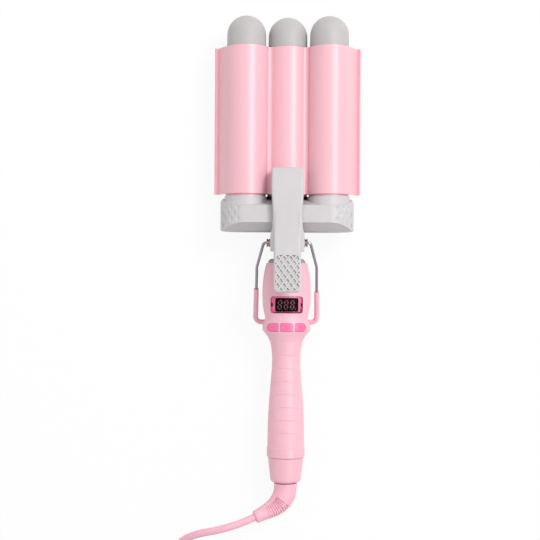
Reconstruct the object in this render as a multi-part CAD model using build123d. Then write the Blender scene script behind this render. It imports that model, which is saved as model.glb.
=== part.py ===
from build123d import *
import os
from math import asin, atan2, cos, degrees, hypot, pi, radians, sin, sqrt, tan

# Three-barrel hair waver with a spring-loaded corrugated clamp plate, a folding wire stand, a digital
# temperature display with three buttons, and a mains cord on a swivel. Millimetres.
# It lies on its back: X to the right, Y towards the barrel tips, Z up out of the clamp side.
# Origin: on the surface it lies on, under the middle of its bounding box (cord and plug left out).

# ---- barrels -------------------------------------------------------------------------------------
BARREL_R = 16.0            # a 32 mm (1 1/4 inch) barrel
BARREL_WALL = 1.2
BARREL_PITCH = 33.2        # side barrel to middle barrel, across
SIDE_Z = 24.0              # axis height of the two side barrels
MIDDLE_Z = 17.0            # the middle barrel lies deeper, so that the plate nests between them
TIP_Y = 186.5              # the object runs from -TIP_Y to +TIP_Y
TUBE_END_Y = 159.0
CAP_R = 15.7
BARRELS = {"left": (-BARREL_PITCH, SIDE_Z), "middle": (0.0, MIDDLE_Z), "right": (BARREL_PITCH, SIDE_Z)}
TUBE_START_Y = {"left": 37.5, "middle": 40.2, "right": 37.5}
HEATER_Y = (46.0, 150.0)
HEATER_THICK = 6.0
COLLAR_BACK_Y = 30.0
COLLAR_FOOT_Y = 34.0       # where the side collars' bell starts
COLLAR_TOP_Y = 41.7

# ---- base beam -----------------------------------------------------------------------------------
BASE_HALF_W = 53.4
BASE_Y = (14.2, 40.0)
BASE_H = 43.0
BASE_END_R = 20.5
BASE_WALL = 2.4
BASE_SPLIT_Z = 21.5
BASE_EDGE_R = (1.6, 3.2)      # rounding of the rim on the handle's side and on the barrels' side
LOW_BEVEL = ((14.2, 32.0), (20.6, 43.0))     # (y, z): the beam's bevel on the handle side
HIGH_BEVEL = ((34.2, 43.0), (40.0, 23.3))    # and the slanting face that the barrels' collars rise from
QUILT_CELL = (6.0, 9.1)                      # one diamond of the pattern round the beam's ends
QUILT_FIRST = (6.6, 32.3)                    # the first diamond: distance round the end, and y
QUILT_ROWS = 4
QUILT_COLUMNS = 3
QUILT_RIB = 0.9
QUILT_DEPTH = 0.7
# plan outline that the diamonds stay in, between the two bevels
QUILT_FIELD = [(36.9, 21.4), (36.9, 33.4), (45.0, 34.6), (51.2, 36.6), (51.2, 16.4), (45.0, 19.4)]
BASE_SCREWS = [(-34.0, 23.0), (-14.0, 23.0), (14.0, 23.0), (34.0, 23.0)]
LUG_Z = (19.5, 23.5)

# ---- pivot, clamp and stand ----------------------------------------------------------------------
PIVOT_Y = 4.8
PIVOT_Z = 30.5
PLATE_Y = (43.5, 160.5)
PLATE_T = 1.4
PLATE_OUT_R = 18.0         # over each barrel, so 0.6 mm of air stays between plate and barrel
FLANK_FROM_TOP = 57.0      # degrees round the side barrel where the outer flank leaves the arc
PLATE_HALF_W = 58.5
LIP = 2.2
ARM_Y = (-34.4, 63.7)
ARM_CLEAR_Z = 44.3         # the arm's underside where it bridges the base beam
ARM_SCREW_Y = (20.0, 37.0)
ARM_EDGE_R = 1.9
PAD = (18.4, 28.4)         # field of the lattice on the thumb lever
PAD_CELL = (5.1, 7.35)
PAD_RIB = 1.1
PAD_DEPTH = 1.5
PAD_Y = -18.9
EAR_X = (10.35, 13.4)
BUSH_R = 2.5
BUSH_HEAD_R = 3.3
BUSH_OUT_X = 16.3
WIRE_R = 1.1
SLEEVE_R = 2.0
STAND_LEN = 70.0           # pivot to crossbar
STAND_DROP = 28.3          # how far the crossbar lies below the pivot when folded

# ---- handle --------------------------------------------------------------------------------------
HANDLE_Z = 21.5
WALL = 2.2
HANDLE_TOP_Y = -11.2
HANDLE_END_Y = -158.2
OVAL_TURN = 30.0           # degrees of the front arc of each oval section, each side of its crown
# (y, half width, half depth) of the head: shoulder, waist under the display, button band
HEAD = [
    (-11.2, 16.3, 14.0), (-20.0, 18.3, 14.7), (-30.0, 19.3, 15.1), (-41.0, 19.3, 15.2),
    (-50.0, 18.2, 15.0), (-56.0, 17.15, 14.8), (-59.0, 18.1, 15.3), (-62.5, 19.7, 15.9),
    (-66.0, 18.3, 15.4), (-69.0, 15.8, 14.3), (-72.5, 13.7, 13.1), (-78.0, 12.2, 12.2),
]
# (y, radius) of the round grip below it
GRIP = [
    (-78.0, 12.2), (-84.0, 11.5), (-94.0, 11.45), (-107.0, 12.4), (-122.0, 13.6), (-140.0, 14.5),
    (-158.2, 14.8),
]
HEAD_BANDS = 18
GROOVES = 7
GROOVE_FIRST_Y = -84.9
GROOVE_STEP = 10.25
GROOVE_TILT = 26.0
GROOVE_SPREAD = 1.14       # the groove's arc is this much flatter than the grip, so it fades out
GROOVE_R = 0.6
GROOVE_DEPTH = 0.35
HEAD_SCREWS = [(-10.0, -28.0), (10.0, -28.0)]
GRIP_SCREWS = [(0.0, -83.0), (0.0, -150.6)]
RING_Y = (-166.4, -158.2)
RING_R = 15.2
END_CAP_Y = (-186.5, -166.7)

# ---- display and buttons -------------------------------------------------------------------------
WINDOW = (25.5, 13.5)
WINDOW_Y = -44.4
WINDOW_CORNER = 2.0
LCD = (18.2, 10.7)
LCD_CORNER = 1.3
LCD_SKIRT = (25.0, 9.0)
BUTTON_Y = -62.3
BUTTON_W = 6.6
BUTTON_ROW = 30.9
BUTTON_MIDDLE = 9.9
BUTTON_WEB = 1.7
BUTTON_GAP = 0.2
BUTTON_FLANGE = 0.7
BUTTON_PROUD = 0.4
BUTTON_TRAVEL = 0.6
BOARD_Z = (23.5, 25.1)
POWER_BOARD_Z = (18.0, 19.6)
BOARD_REST_Y = (-105.0, -130.0)
SWITCH_H = 4.3

# ---- cord ----------------------------------------------------------------------------------------
CORD_R = 3.0
BOOT_TOP_Y = -187.5
SPIGOT_R = 5.93
SOCKET_R = 6.0
# (x, y, z, radius) down the middle of the bent boot
BOOT = [
    (0.0, -187.5, 21.5, 9.2), (-0.1, -192.0, 21.5, 9.2), (-1.1, -197.0, 21.7, 9.0),
    (-3.9, -202.0, 22.5, 8.5), (-8.6, -206.3, 24.0, 7.5), (-14.6, -209.6, 26.0, 6.2),
    (-20.8, -212.3, 28.1, 5.3), (-24.5, -213.8, 29.2, 5.0),
]
BOOT_END_R = 1.5
BOOT_SLOTS = 9
BOOT_SLOT_SPAN = (30, 80, 130)        # degrees round the boot, from its outward side over its top
BOOT_SLOT_RANGE = (0.38, 0.74)        # along the boot
BOOT_SLOT_W = 0.7
BOOT_SLOT_DEPTH = 1.1
BOOT_RIB_AT = 66                      # degrees
BOOT_RIB_W = 1.6
# the cord's route to its coil, point by point
CORD_ROUTE = [
    BOOT[-1][:3], (-36.5, -218.6, 32.6), (-54.0, -223.6, 33.0), (-70.5, -227.6, 27.2),
    (-84.5, -235.5, 18.0), (-92.5, -250.0, 8.6), (-94.2, -269.0, 3.8), (-93.3, -285.0, 3.1),
]
COIL_AT = (-48.0, -292.0)
COIL_R = 36.0
COIL_TURNS_WIDE = 4
COIL_LAYERS = 2
TAIL_ROUTE = [(-38.0, -336.4, 9.0), (-23.0, -336.2, 8.9), (-9.0, -333.4, 8.0), (4.0, -329.8, 7.1)]
PLUG_X = 4.0
PLUG_Y = -329.8
PLUG_Z = 7.1
PIN_R = 2.0
PIN_LEN = 19.0
PIN_SPACING = 18.6


# ---- helpers -------------------------------------------------------------------------------------
def along_y(sketch, y_low, y_high):
    """Extrude a sketch drawn in (x, z) from y_low to y_high."""
    return extrude(Plane.XZ.offset(-y_high) * sketch, amount=y_high - y_low)


def along_x(sketch, x_low, x_high):
    """Extrude a sketch drawn in (y, z) from x_low to x_high."""
    return extrude(Plane.YZ.offset(x_low) * sketch, amount=x_high - x_low)


def along_z(sketch, z_low, z_high):
    """Extrude a sketch drawn in (x, y) from z_low to z_high."""
    return extrude(Plane.XY.offset(z_low) * sketch, amount=z_high - z_low)


def turned(*edges):
    """Turn a closed profile, drawn as (radius, y), round the Y axis."""
    return revolve(make_face(Curve() + list(edges)), axis=Axis.Y)


def box(x, y, z):
    """A box from its low and high corner values on each axis."""
    return Pos((x[0] + x[1]) / 2, (y[0] + y[1]) / 2, (z[0] + z[1]) / 2) * Box(
        x[1] - x[0], y[1] - y[0], z[1] - z[0]
    )


def rod_x(radius, x_low, x_high, y, z):
    return Pos(0, y, z) * along_x(Circle(radius), x_low, x_high)


def rod_z(radius, z_low, z_high, x, y):
    return Pos(x, y, 0) * along_z(Circle(radius), z_low, z_high)


def screw_z(x, y, head_z, seat_z, tip_z, head_r, shank_r):
    """A screw standing along Z: its head from head_z to seat_z, its shank from seat_z to tip_z."""
    head = rod_z(head_r, min(head_z, seat_z), max(head_z, seat_z), x, y)
    shank = rod_z(shank_r, min(seat_z, tip_z), max(seat_z, tip_z), x, y)
    side = 1 if head_z < seat_z else -1
    recess = Pos(x, y, head_z) * Box(head_r * 1.1, 0.5, 1.2) + Pos(x, y, head_z) * Box(0.5, head_r * 1.1, 1.2)
    return head + shank - Pos(0, 0, side * 0.1) * recess


def diamond_field(cell, shrink, columns, rows):
    """Diamonds in staggered rows about the origin; shrink leaves the ribs between them."""
    half_x, half_y = cell[0] / 2 * shrink, cell[1] / 2 * shrink
    diamond = make_face(Polyline((half_x, 0), (0, half_y), (-half_x, 0), (0, -half_y), (half_x, 0)))
    field = Sketch()
    for row in range(-rows, rows + 1):
        for column in range(-columns, columns + 1):
            x = column + (0.5 if row % 2 else 0.0)
            field += Pos(x * cell[0], row * cell[1] / 2) * diamond
    return field


# ---- barrels and what is in them -----------------------------------------------------------------
def barrel(side):
    x, z = BARRELS[side]
    tube = along_y(Circle(BARREL_R) - Circle(BARREL_R - BARREL_WALL), TUBE_START_Y[side], TUBE_END_Y)
    return Pos(x, 0, z) * tube


def dome_middle(rim_r, rim_y, top_y):
    """Middle point of a spherical dome's outline, from its rim to its top on the axis."""
    rise = top_y - rim_y
    r = (rim_r**2 + rise**2) / (2 * rise)
    half_turn = atan2(rim_r, r - rise) / 2
    return (r * sin(half_turn), top_y - r + r * cos(half_turn))


def tip_cap(side):
    """A hollow domed cap that plugs into the barrel's end with a spigot."""
    x, z = BARRELS[side]
    spigot_r = BARREL_R - BARREL_WALL - 0.05
    rim_r, bore_r = CAP_R - 0.15, 12.6
    dome_y = TIP_Y - 15.2
    hollow_y = dome_y + bore_r
    cap = turned(
        Polyline(
            (bore_r, TUBE_END_Y - 8), (spigot_r, TUBE_END_Y - 8), (spigot_r, TUBE_END_Y),
            (CAP_R, TUBE_END_Y), (rim_r, dome_y),
        ),
        ThreePointArc((rim_r, dome_y), dome_middle(rim_r, dome_y, TIP_Y), (0, TIP_Y)),
        Line((0, TIP_Y), (0, hollow_y)),
        ThreePointArc((0, hollow_y), dome_middle(bore_r, dome_y, hollow_y), (bore_r, dome_y)),
        Line((bore_r, dome_y), (bore_r, TUBE_END_Y - 8)),
    )
    return Pos(x, 0, z) * cap


def side_collar_form(grow=0.0):
    """Outside of a side barrel's bell-shaped heat guard; grow makes the hole for it."""
    foot, top = 18.0 + grow, 16.85 + grow
    return turned(
        Polyline((0, COLLAR_BACK_Y), (16.3 + grow, COLLAR_BACK_Y), (16.3 + grow, COLLAR_FOOT_Y - grow),
                 (foot, COLLAR_FOOT_Y - grow)),
        ThreePointArc((foot, COLLAR_FOOT_Y - grow), (17.3 + grow, 37.8), (top, COLLAR_TOP_Y)),
        Polyline((top, COLLAR_TOP_Y), (0, COLLAR_TOP_Y), (0, COLLAR_BACK_Y)),
    )


def middle_collar_form(grow=0.0):
    """Outside of the middle barrel's black heat guard, which tapers down into the base."""
    neck, rim = 15.15 + grow, 16.7 + grow
    return turned(
        Polyline((0, COLLAR_BACK_Y), (neck, COLLAR_BACK_Y), (neck, 37.9), (rim, 39.6), (rim, 42.2),
                 (0, 42.2), (0, COLLAR_BACK_Y))
    )


def barrel_collar(side):
    x, z = BARRELS[side]
    form = middle_collar_form() if side == "middle" else side_collar_form()
    cup = along_y(Circle(BARREL_R + 0.05), TUBE_START_Y[side], 45.0)
    bore = along_y(Circle(12.5), COLLAR_BACK_Y - 1, 45.0)
    return Pos(x, 0, z) * (form - cup - bore)


def heat_shoes(side):
    """Two hollow aluminium half-rounds that press the heater's warmth into the barrel wall."""
    x, z = BARRELS[side]
    outer_r = BARREL_R - BARREL_WALL - 0.05
    slot = Rectangle(40, HEATER_THICK + 0.1)
    hollow = Circle(outer_r - 2.8) - Rectangle(40, HEATER_THICK + 4.6)
    shape = Circle(outer_r) - slot - hollow
    return Pos(x, 0, z) * along_y(shape, *HEATER_Y)


def heater(side):
    """Flat ceramic heating bar in its insulating wrap, clamped between the shoes."""
    x, z = BARRELS[side]
    bar = along_y(RectangleRounded(17, HEATER_THICK, 1.0), HEATER_Y[0] - 6, HEATER_Y[1] - 2)
    return Pos(x, 0, z) * bar


def temperature_sensor():
    """Bead sensor and its sleeve, held by the middle barrel's upper shoe."""
    z = MIDDLE_Z + HEATER_THICK / 2 + 2.3 + 1.3
    return Pos(0, 0, z) * along_y(Circle(1.25), HEATER_Y[0] - 4, HEATER_Y[0] + 26)


def thermal_fuse():
    """Cut-out clipped to the back of the middle barrel's collar."""
    body = along_y(Circle(2.0), 28.0, COLLAR_BACK_Y)
    return Pos(0, 0, MIDDLE_Z + 13.2) * body


# ---- base beam -----------------------------------------------------------------------------------
def bevel_tool(first, second, inset):
    """A wide wedge that takes off what lies beyond the line from first to second, moved in by inset."""
    dy, dz = second[0] - first[0], second[1] - first[1]
    length = hypot(dy, dz)
    normal = (-dz / length, dy / length)
    first = (first[0] - normal[0] * inset, first[1] - normal[1] * inset)
    reach = 20 / length
    ends = [
        (first[0] - reach * dy, first[1] - reach * dz),
        (first[0] + (1 + reach) * dy, first[1] + (1 + reach) * dz),
    ]
    far = [(p[0] + 40 * normal[0], p[1] + 40 * normal[1]) for p in ends]
    return along_x(make_face(Polyline(*ends, far[1], far[0], ends[0])), -70, 70)


def base_form(inset):
    """The beam's outer form, or its hollow when inset is the wall's thickness."""
    section_shape = Pos(0, BASE_H / 2) * RectangleRounded(
        2 * (BASE_HALF_W - inset), BASE_H - 2 * inset, BASE_END_R - inset
    )
    form = along_y(section_shape, BASE_Y[0] + inset, BASE_Y[1] - inset)
    if inset == 0:
        for y, radius in zip(BASE_Y, BASE_EDGE_R):
            form = fillet(form.edges().filter_by_position(Axis.Y, y - 0.01, y + 0.01), radius)
    form -= bevel_tool(*LOW_BEVEL, inset)
    form -= bevel_tool(*HIGH_BEVEL, inset)
    return form


def quilt():
    """Pyramid pits in staggered rows round the right end of the beam: the stock taken out of its face."""
    shrink = 1 - QUILT_RIB * hypot(1 / QUILT_CELL[0], 1 / QUILT_CELL[1])
    wide = diamond_field(QUILT_CELL, 2 * shrink, 0, 0)     # as far above the surface as the tip is below it
    field = along_z(make_face(Polyline(*QUILT_FIELD, close=True)), BASE_SPLIT_Z, BASE_H + 2)
    pits = []
    for row in range(QUILT_ROWS):
        for column in range(QUILT_COLUMNS):
            turn = (QUILT_FIRST[0] + (column + 0.5 * (row % 2)) * QUILT_CELL[0]) / BASE_END_R
            y = QUILT_FIRST[1] - row * QUILT_CELL[1] / 2
            out = Vector(sin(turn), 0, cos(turn))
            centre = Vector(BASE_HALF_W - BASE_END_R, y, BASE_H - BASE_END_R)
            rim_at = centre + out * (BASE_END_R + QUILT_DEPTH)
            rim = Plane(origin=rim_at, x_dir=(cos(turn), 0, -sin(turn)), z_dir=out)
            tip = Vertex(*(centre + out * (BASE_END_R - QUILT_DEPTH)))
            pits.append(loft([(rim * wide).face(), tip]) & field)
    return pits


def base_shell():
    pits = quilt()
    shell = base_form(0) - base_form(BASE_WALL) - pits - [mirror(pit, about=Plane.YZ) for pit in pits]
    for side, (x, z) in BARRELS.items():
        hole = middle_collar_form(0.05) if side == "middle" else side_collar_form(0.05)
        shell -= Pos(x, 0, z) * hole
    return shell - box((-9.35, 9.35), (10, 18), (8.0, 31.0))


def base_front_cover(shell):
    cover = shell & box((-60, 60), (0, 50), (BASE_SPLIT_Z, 50))
    hollow = base_form(0.5)
    for x, y in BASE_SCREWS:
        foot = LUG_Z[1] if abs(x) < 20 else BASE_SPLIT_Z
        post = rod_z(3.2, foot, 42.0, x, y) & hollow
        cover += post
        cover -= rod_z(1.55, foot, 36.0, x, y)
    return cover


def base_rear_cover(shell):
    cover = shell & box((-60, 60), (0, 50), (-1, BASE_SPLIT_Z))
    for x, y in BASE_SCREWS:
        top = LUG_Z[0] if abs(x) < 20 else BASE_SPLIT_Z
        cover += rod_z(4.2, 0.5, top, x, y)
        cover -= rod_z(3.1, -1, 3.5, x, y)
        cover -= rod_z(1.65, 3, top, x, y)
    return cover


def base_screws():
    return [screw_z(x, y, 1.2, 3.5, 34.0, 2.9, 1.5) for x, y in BASE_SCREWS]


# ---- neck between base and handle ----------------------------------------------------------------
def neck_frame():
    """Moulded spine: lug in the base, cheeks for the pivot bushings, tail in the handle."""
    half = 9.3
    outline = make_face(
        Curve() + [
            Polyline((26.5, 8.5), (26.5, 30.0), (13.0, 30.5), (PIVOT_Y + 6.2, PIVOT_Z + 1.0)),
            ThreePointArc(
                (PIVOT_Y + 6.2, PIVOT_Z + 1.0), (PIVOT_Y, PIVOT_Z + 6.3), (PIVOT_Y - 6.2, PIVOT_Z + 1.0)
            ),
            Polyline((PIVOT_Y - 6.2, PIVOT_Z + 1.0), (-7.0, 30.4), (-22.0, 30.4), (-22.0, 12.6),
                     (-7.0, 12.6), (-3.0, 8.5), (26.5, 8.5)),
        ]
    )
    neck = along_x(outline, -half, half)
    neck += box((-18.2, 18.2), (18.8, 27.2), LUG_Z)
    neck -= box((-5.2, 5.2), (-2.0, 11.6), (23.5, 40))
    neck -= rod_x(BUSH_R + 0.02, -20, 20, PIVOT_Y, PIVOT_Z)
    neck -= Pos(0, 0, 16.0) * along_y(Circle(3.2), -30, 30)
    for x, y in BASE_SCREWS[1:3]:
        neck -= rod_z(1.65, 10, 30, x, y)
    return neck


def wire_bundle():
    """The heaters' leads, bundled in one sleeve through the neck."""
    return Pos(0, 0, 16.0) * along_y(Circle(3.1), -30.0, 29.0)


# ---- clamp ---------------------------------------------------------------------------------------
def clamp_plate():
    """One corrugated sheet over three barrels, with straight outer flanks and upturned side lips."""
    sheet = make_face(plate_edges())
    return along_y(sheet, *PLATE_Y)


def plate_edges():
    turn = radians(FLANK_FROM_TOP)
    inner_r = PLATE_OUT_R - PLATE_T
    side, middle = (BARREL_PITCH, SIDE_Z), (0.0, MIDDLE_Z)
    apart = hypot(BARREL_PITCH, SIDE_Z - MIDDLE_Z)
    lift = sqrt(PLATE_OUT_R**2 - (apart / 2) ** 2)
    crease = (
        BARREL_PITCH / 2 - lift * (SIDE_Z - MIDDLE_Z) / apart,
        (SIDE_Z + MIDDLE_Z) / 2 + lift * BARREL_PITCH / apart,
    )
    fold_z = crease[1] - 1.9
    fold_side = (side[0] - sqrt(inner_r**2 - (side[1] - fold_z) ** 2), fold_z)
    fold_middle = (sqrt(inner_r**2 - (fold_z - middle[1]) ** 2), fold_z)
    down = (cos(turn), -sin(turn))
    face = (sin(turn), cos(turn))
    lip_turn = radians(42)
    lip = (cos(lip_turn), sin(lip_turn))
    lip_face = (-sin(lip_turn), cos(lip_turn))
    leave_out = (side[0] + PLATE_OUT_R * face[0], side[1] + PLATE_OUT_R * face[1])
    leave_in = (side[0] + inner_r * face[0], side[1] + inner_r * face[1])
    corner_x = PLATE_HALF_W - LIP * lip[0] - PLATE_T * lip[1]
    run = (corner_x - leave_out[0]) / down[0]
    bend_out = (corner_x, leave_out[1] + run * down[1])
    mitre = PLATE_T / (1 + face[0] * lip_face[0] + face[1] * lip_face[1])
    bend_in = (bend_out[0] - mitre * (face[0] + lip_face[0]), bend_out[1] - mitre * (face[1] + lip_face[1]))
    lip_out = (bend_out[0] + LIP * lip[0], bend_out[1] + LIP * lip[1])
    lip_in = (lip_out[0] - PLATE_T * lip_face[0], lip_out[1] - PLATE_T * lip_face[1])
    half = [
        ThreePointArc(crease, (side[0], side[1] + PLATE_OUT_R), leave_out),
        Polyline(leave_out, bend_out, lip_out, lip_in, bend_in, leave_in),
        ThreePointArc(leave_in, (side[0], side[1] + inner_r), fold_side),
        Line(fold_side, fold_middle),
    ]
    mirrored = [edge.mirror(Plane.YZ) for edge in half]
    return Curve() + half + mirrored + [
        ThreePointArc((-crease[0], crease[1]), (0, MIDDLE_Z + PLATE_OUT_R), crease),
        ThreePointArc((-fold_middle[0], fold_z), (0, MIDDLE_Z + inner_r), fold_middle),
    ]


def plate_bracket():
    """Steel saddle welded on the middle ridge, and the strap from it up into the arm."""
    saddle_r = PLATE_OUT_R + 0.02
    saddle = Circle(saddle_r + 1.5) - Circle(saddle_r)
    saddle &= Pos(0, 20) * Rectangle(17.6, 40)
    saddle = Pos(0, 0, MIDDLE_Z) * along_y(saddle, 46.0, 61.0)
    path = Polyline((58.0, 35.9), (47.9, 35.9), (46.2, 46.4), (12.0, 46.9))
    strap = make_face(offset(path, amount=0.75, side=Side.BOTH))
    bracket = saddle + (along_x(strap, -7, 7) - Pos(0, 0, MIDDLE_Z) * along_y(Circle(saddle_r), 40, 70))
    for y in ARM_SCREW_Y:
        bracket -= rod_z(1.35, 40, 50, 0, y)
    return bracket


def arm_plan():
    """The arm from above: wide tongue, waist over the base, parallel thumb lever."""
    right = [(12.65, 60.5), (12.75, 47.0), (11.9, 33.0), (11.45, 25.0), (11.0, 12.0), (10.7, -2.0)]
    left = [(-x, y) for x, y in reversed(right)]
    low, high = ARM_Y
    return make_face(
        Curve() + [
            Spline(*right, tangents=[(0, -1), (0, -1)]),
            Line((10.7, -2.0), (10.7, low + 3.4)),
            ThreePointArc((10.7, low + 3.4), (10.7 - 1.0, low + 1.0), (7.3, low)),
            Line((7.3, low), (-7.3, low)),
            ThreePointArc((-7.3, low), (-9.7, low + 1.0), (-10.7, low + 3.4)),
            Line((-10.7, low + 3.4), (-10.7, -2.0)),
            Spline(*left, tangents=[(0, 1), (0, 1)]),
            ThreePointArc((-12.65, 60.5), (-11.7, high - 0.95), (-9.4, high)),
            Line((-9.4, high), (9.4, high)),
            ThreePointArc((9.4, high), (11.7, high - 0.95), (12.65, 60.5)),
        ]
    )


ARM_TOP = [
    (ARM_Y[1], 45.0), (57.0, 47.6), (42.0, 49.8), (22.0, 50.4), (6.0, 51.3), (-6.0, 53.6), (ARM_Y[0], 62.5),
]
LEVER_FOOT, LEVER_END = ARM_TOP[-2], ARM_TOP[-1]


def arm_side(drop, thick_lever):
    """The arm from the side: top line lowered by drop, underside over the base and under the lever."""
    top = [(y, z - drop) for y, z in ARM_TOP]
    return make_face(
        Curve() + [
            Spline(*top, tangents=[(-0.9, 0.45), (-28.4, 8.9)]),
            Polyline(top[-1], (ARM_Y[0], top[-1][1] - thick_lever), (-3.0, 48.2), (4.0, ARM_CLEAR_Z),
                     (43.9, ARM_CLEAR_Z), (43.9, 28.0), (ARM_Y[1], 28.0), top[0]),
        ]
    )


def ear_outline():
    """Side lobe of the arm that turns on a pivot bushing."""
    r = 6.8
    return make_face(
        Curve() + [
            ThreePointArc((PIVOT_Y - r, PIVOT_Z), (PIVOT_Y, PIVOT_Z - r), (PIVOT_Y + r, PIVOT_Z)),
            Polyline((PIVOT_Y + r, PIVOT_Z), (12.6, 40.0), (14.6, ARM_CLEAR_Z), (28.5, ARM_CLEAR_Z),
                     (28.5, 52.0), (PIVOT_Y - r + 0.9, 52.0), (PIVOT_Y - r, 48.6), (PIVOT_Y - r, PIVOT_Z)),
        ]
    )


def shoulders():
    """The ears, drawn up in sloping flanks to the edges of the arm's top."""
    out = EAR_X[1]
    roof = [(out, 20.0), (out, 46.2), (9.2, 50.7)]
    roof += [(-x, z) for x, z in reversed(roof)]
    plan = [(out, -3.0), (out, 9.5), (12.1, 16.0), (11.3, 29.0)]
    plan += [(-x, y) for x, y in reversed(plan)]
    body = along_x(ear_outline(), -out, out)
    body &= along_y(make_face(Polyline(*roof, close=True)), -5, 30)
    return body & along_z(make_face(Polyline(*plan, close=True)), 20, 60)


def clamp_arm():
    """Moulded arm, open underneath: tongue on the plate, skirt with ears, thumb lever with a lattice pad."""
    body = along_x(arm_side(0, 4.4), -15, 15) & along_z(arm_plan(), 20, 70)
    top_edges = body.edges().filter_by(lambda e: e.center().Z > 44.5 and abs(e.center().X) > 5)
    body = fillet(top_edges, ARM_EDGE_R)
    hollow = along_x(arm_side(2.3, 0.6), -9.0, 9.0) & box((-9, 9), (-3.0, 61.2), (20, 60))
    hollow += box((-9.0, 9.0), (-1.6, 12.0), (36, 48.6))
    body -= hollow
    ears = shoulders() - box((-9.0, 9.0), (-10, 30), (20, 60))
    body += ears - box((-EAR_X[0], EAR_X[0]), (-10, 14.0), (20, ARM_CLEAR_Z - 0.4))
    for y in ARM_SCREW_Y:
        body += rod_z(3.0, 47.65, 49.6, 0, y)
        body -= rod_z(1.3, 40, 49.0, 0, y)
    body -= rod_x(BUSH_R + 0.06, -20, 20, PIVOT_Y, PIVOT_Z)
    body -= Pos(0, 0, MIDDLE_Z) * along_y(Circle(PLATE_OUT_R + 0.05), 40, 70)
    return body - pad_pits()


def pad_pits():
    """Diamond pits between the diagonal ribs of the thumb pad, sunk square to the lever's top."""
    shrink = 1 - PAD_RIB * hypot(1 / PAD_CELL[0], 1 / PAD_CELL[1])
    pits = diamond_field(PAD_CELL, shrink, 3, 4) & RectangleRounded(*PAD, 1.6)
    run = LEVER_END[0] - LEVER_FOOT[0]
    rise = LEVER_END[1] - LEVER_FOOT[1]
    top_z = LEVER_FOOT[1] + (PAD_Y - LEVER_FOOT[0]) * rise / run
    lever = Plane(origin=(0, PAD_Y, top_z), x_dir=(1, 0, 0), z_dir=(0, rise, -run))
    return extrude(lever.offset(-PAD_DEPTH) * pits, amount=PAD_DEPTH + 3)


def arm_screws():
    return [screw_z(0, y, 44.7, 45.75, 48.9, 2.2, 1.25) for y in ARM_SCREW_Y]


def clamp_spring():
    """Torsion spring round the pivot: one leg up under the thumb lever, one forward in the neck."""
    wire, mean_r, pitch = 0.55, 3.15, 1.3
    lever_turn = 54.0                        # how steeply the lever's leg rises, in degrees
    turns = 5 + lever_turn / 360
    half = turns * pitch / 2
    helix = Helix(pitch=pitch, height=2 * half, radius=mean_r)
    coil = sweep(Plane(origin=helix @ 0, z_dir=helix % 0) * Circle(wire), path=helix, is_frenet=True)
    coil = Pos(-half, PIVOT_Y, PIVOT_Z) * Rot(lever_turn, 0, 0) * Rot(0, 90, 0) * coil
    turn = radians(lever_turn)
    foot = (-half, PIVOT_Y - mean_r * sin(turn), PIVOT_Z - mean_r * cos(turn))
    lever_leg = Solid.make_cylinder(wire, 27.2, Plane(origin=foot, z_dir=(0, -cos(turn), sin(turn))))
    neck_end = Plane(origin=(half, PIVOT_Y, PIVOT_Z - mean_r), z_dir=(0, 1, 0))
    neck_leg = Solid.make_cylinder(wire, 6.6, neck_end)
    return coil + lever_leg + neck_leg


def pivot_bushing(sign):
    """Hollow shouldered bushing with a grooved head; the stand's wire end turns in its bore."""
    profile = make_face(
        Polyline((0.8, WIRE_R + 0.06), (0.8, BUSH_R), (EAR_X[1] + 0.1, BUSH_R), (EAR_X[1] + 0.1, BUSH_HEAD_R),
                 (14.45, BUSH_HEAD_R), (14.7, 2.5), (15.15, 2.5), (15.4, BUSH_HEAD_R), (16.0, BUSH_HEAD_R),
                 (BUSH_OUT_X, 2.9), (BUSH_OUT_X, WIRE_R + 0.06), (0.8, WIRE_R + 0.06))
    )
    bushing = revolve(profile, axis=Axis.X)
    if sign < 0:
        bushing = mirror(bushing, about=Plane.YZ)
    return Pos(0, PIVOT_Y, PIVOT_Z) * bushing


# ---- stand ---------------------------------------------------------------------------------------
def stand_point(x, u):
    """A point of the folded stand: x across, u along its arm from the pivot to the crossbar."""
    drop = STAND_DROP / STAND_LEN
    return (x, PIVOT_Y - u * sqrt(1 - drop**2), PIVOT_Z - u * drop)


def stand_path(inner_x, sleeve_from=None):
    half = [(inner_x, 0.0), (18.6, 0.0), (24.0, 21.0), (25.1, STAND_LEN)]
    if sleeve_from is not None:
        t = (sleeve_from - 21.0) / (STAND_LEN - 21.0)
        half = [(24.0 + 1.1 * t, sleeve_from), (25.1, STAND_LEN)]
    return half


def bent(points, radii):
    return FilletPolyline(*points, radius=radii)


def stand_wire():
    half = stand_path(8.0)
    points = [stand_point(x, u) for x, u in half]
    points += [stand_point(-x, u) for x, u in reversed(half)]
    path = bent(points, [2.8, 9.0, 4.6, 4.6, 9.0, 2.8])
    return sweep(Plane(origin=path @ 0, z_dir=path % 0) * Circle(WIRE_R), path=path)


def stand_sleeve():
    """Heat-shrunk sleeve over the stand's foot; its left arm reaches a little higher."""
    right = stand_path(8.0, 42.6)
    left = stand_path(8.0, 40.2)
    points = [stand_point(x, u) for x, u in right] + [stand_point(-x, u) for x, u in reversed(left)]
    path = bent(points, [4.6, 4.6])
    ring = Circle(SLEEVE_R) - Circle(WIRE_R + 0.02)
    return sweep(Plane(origin=path @ 0, z_dir=path % 0) * ring, path=path)


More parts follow.
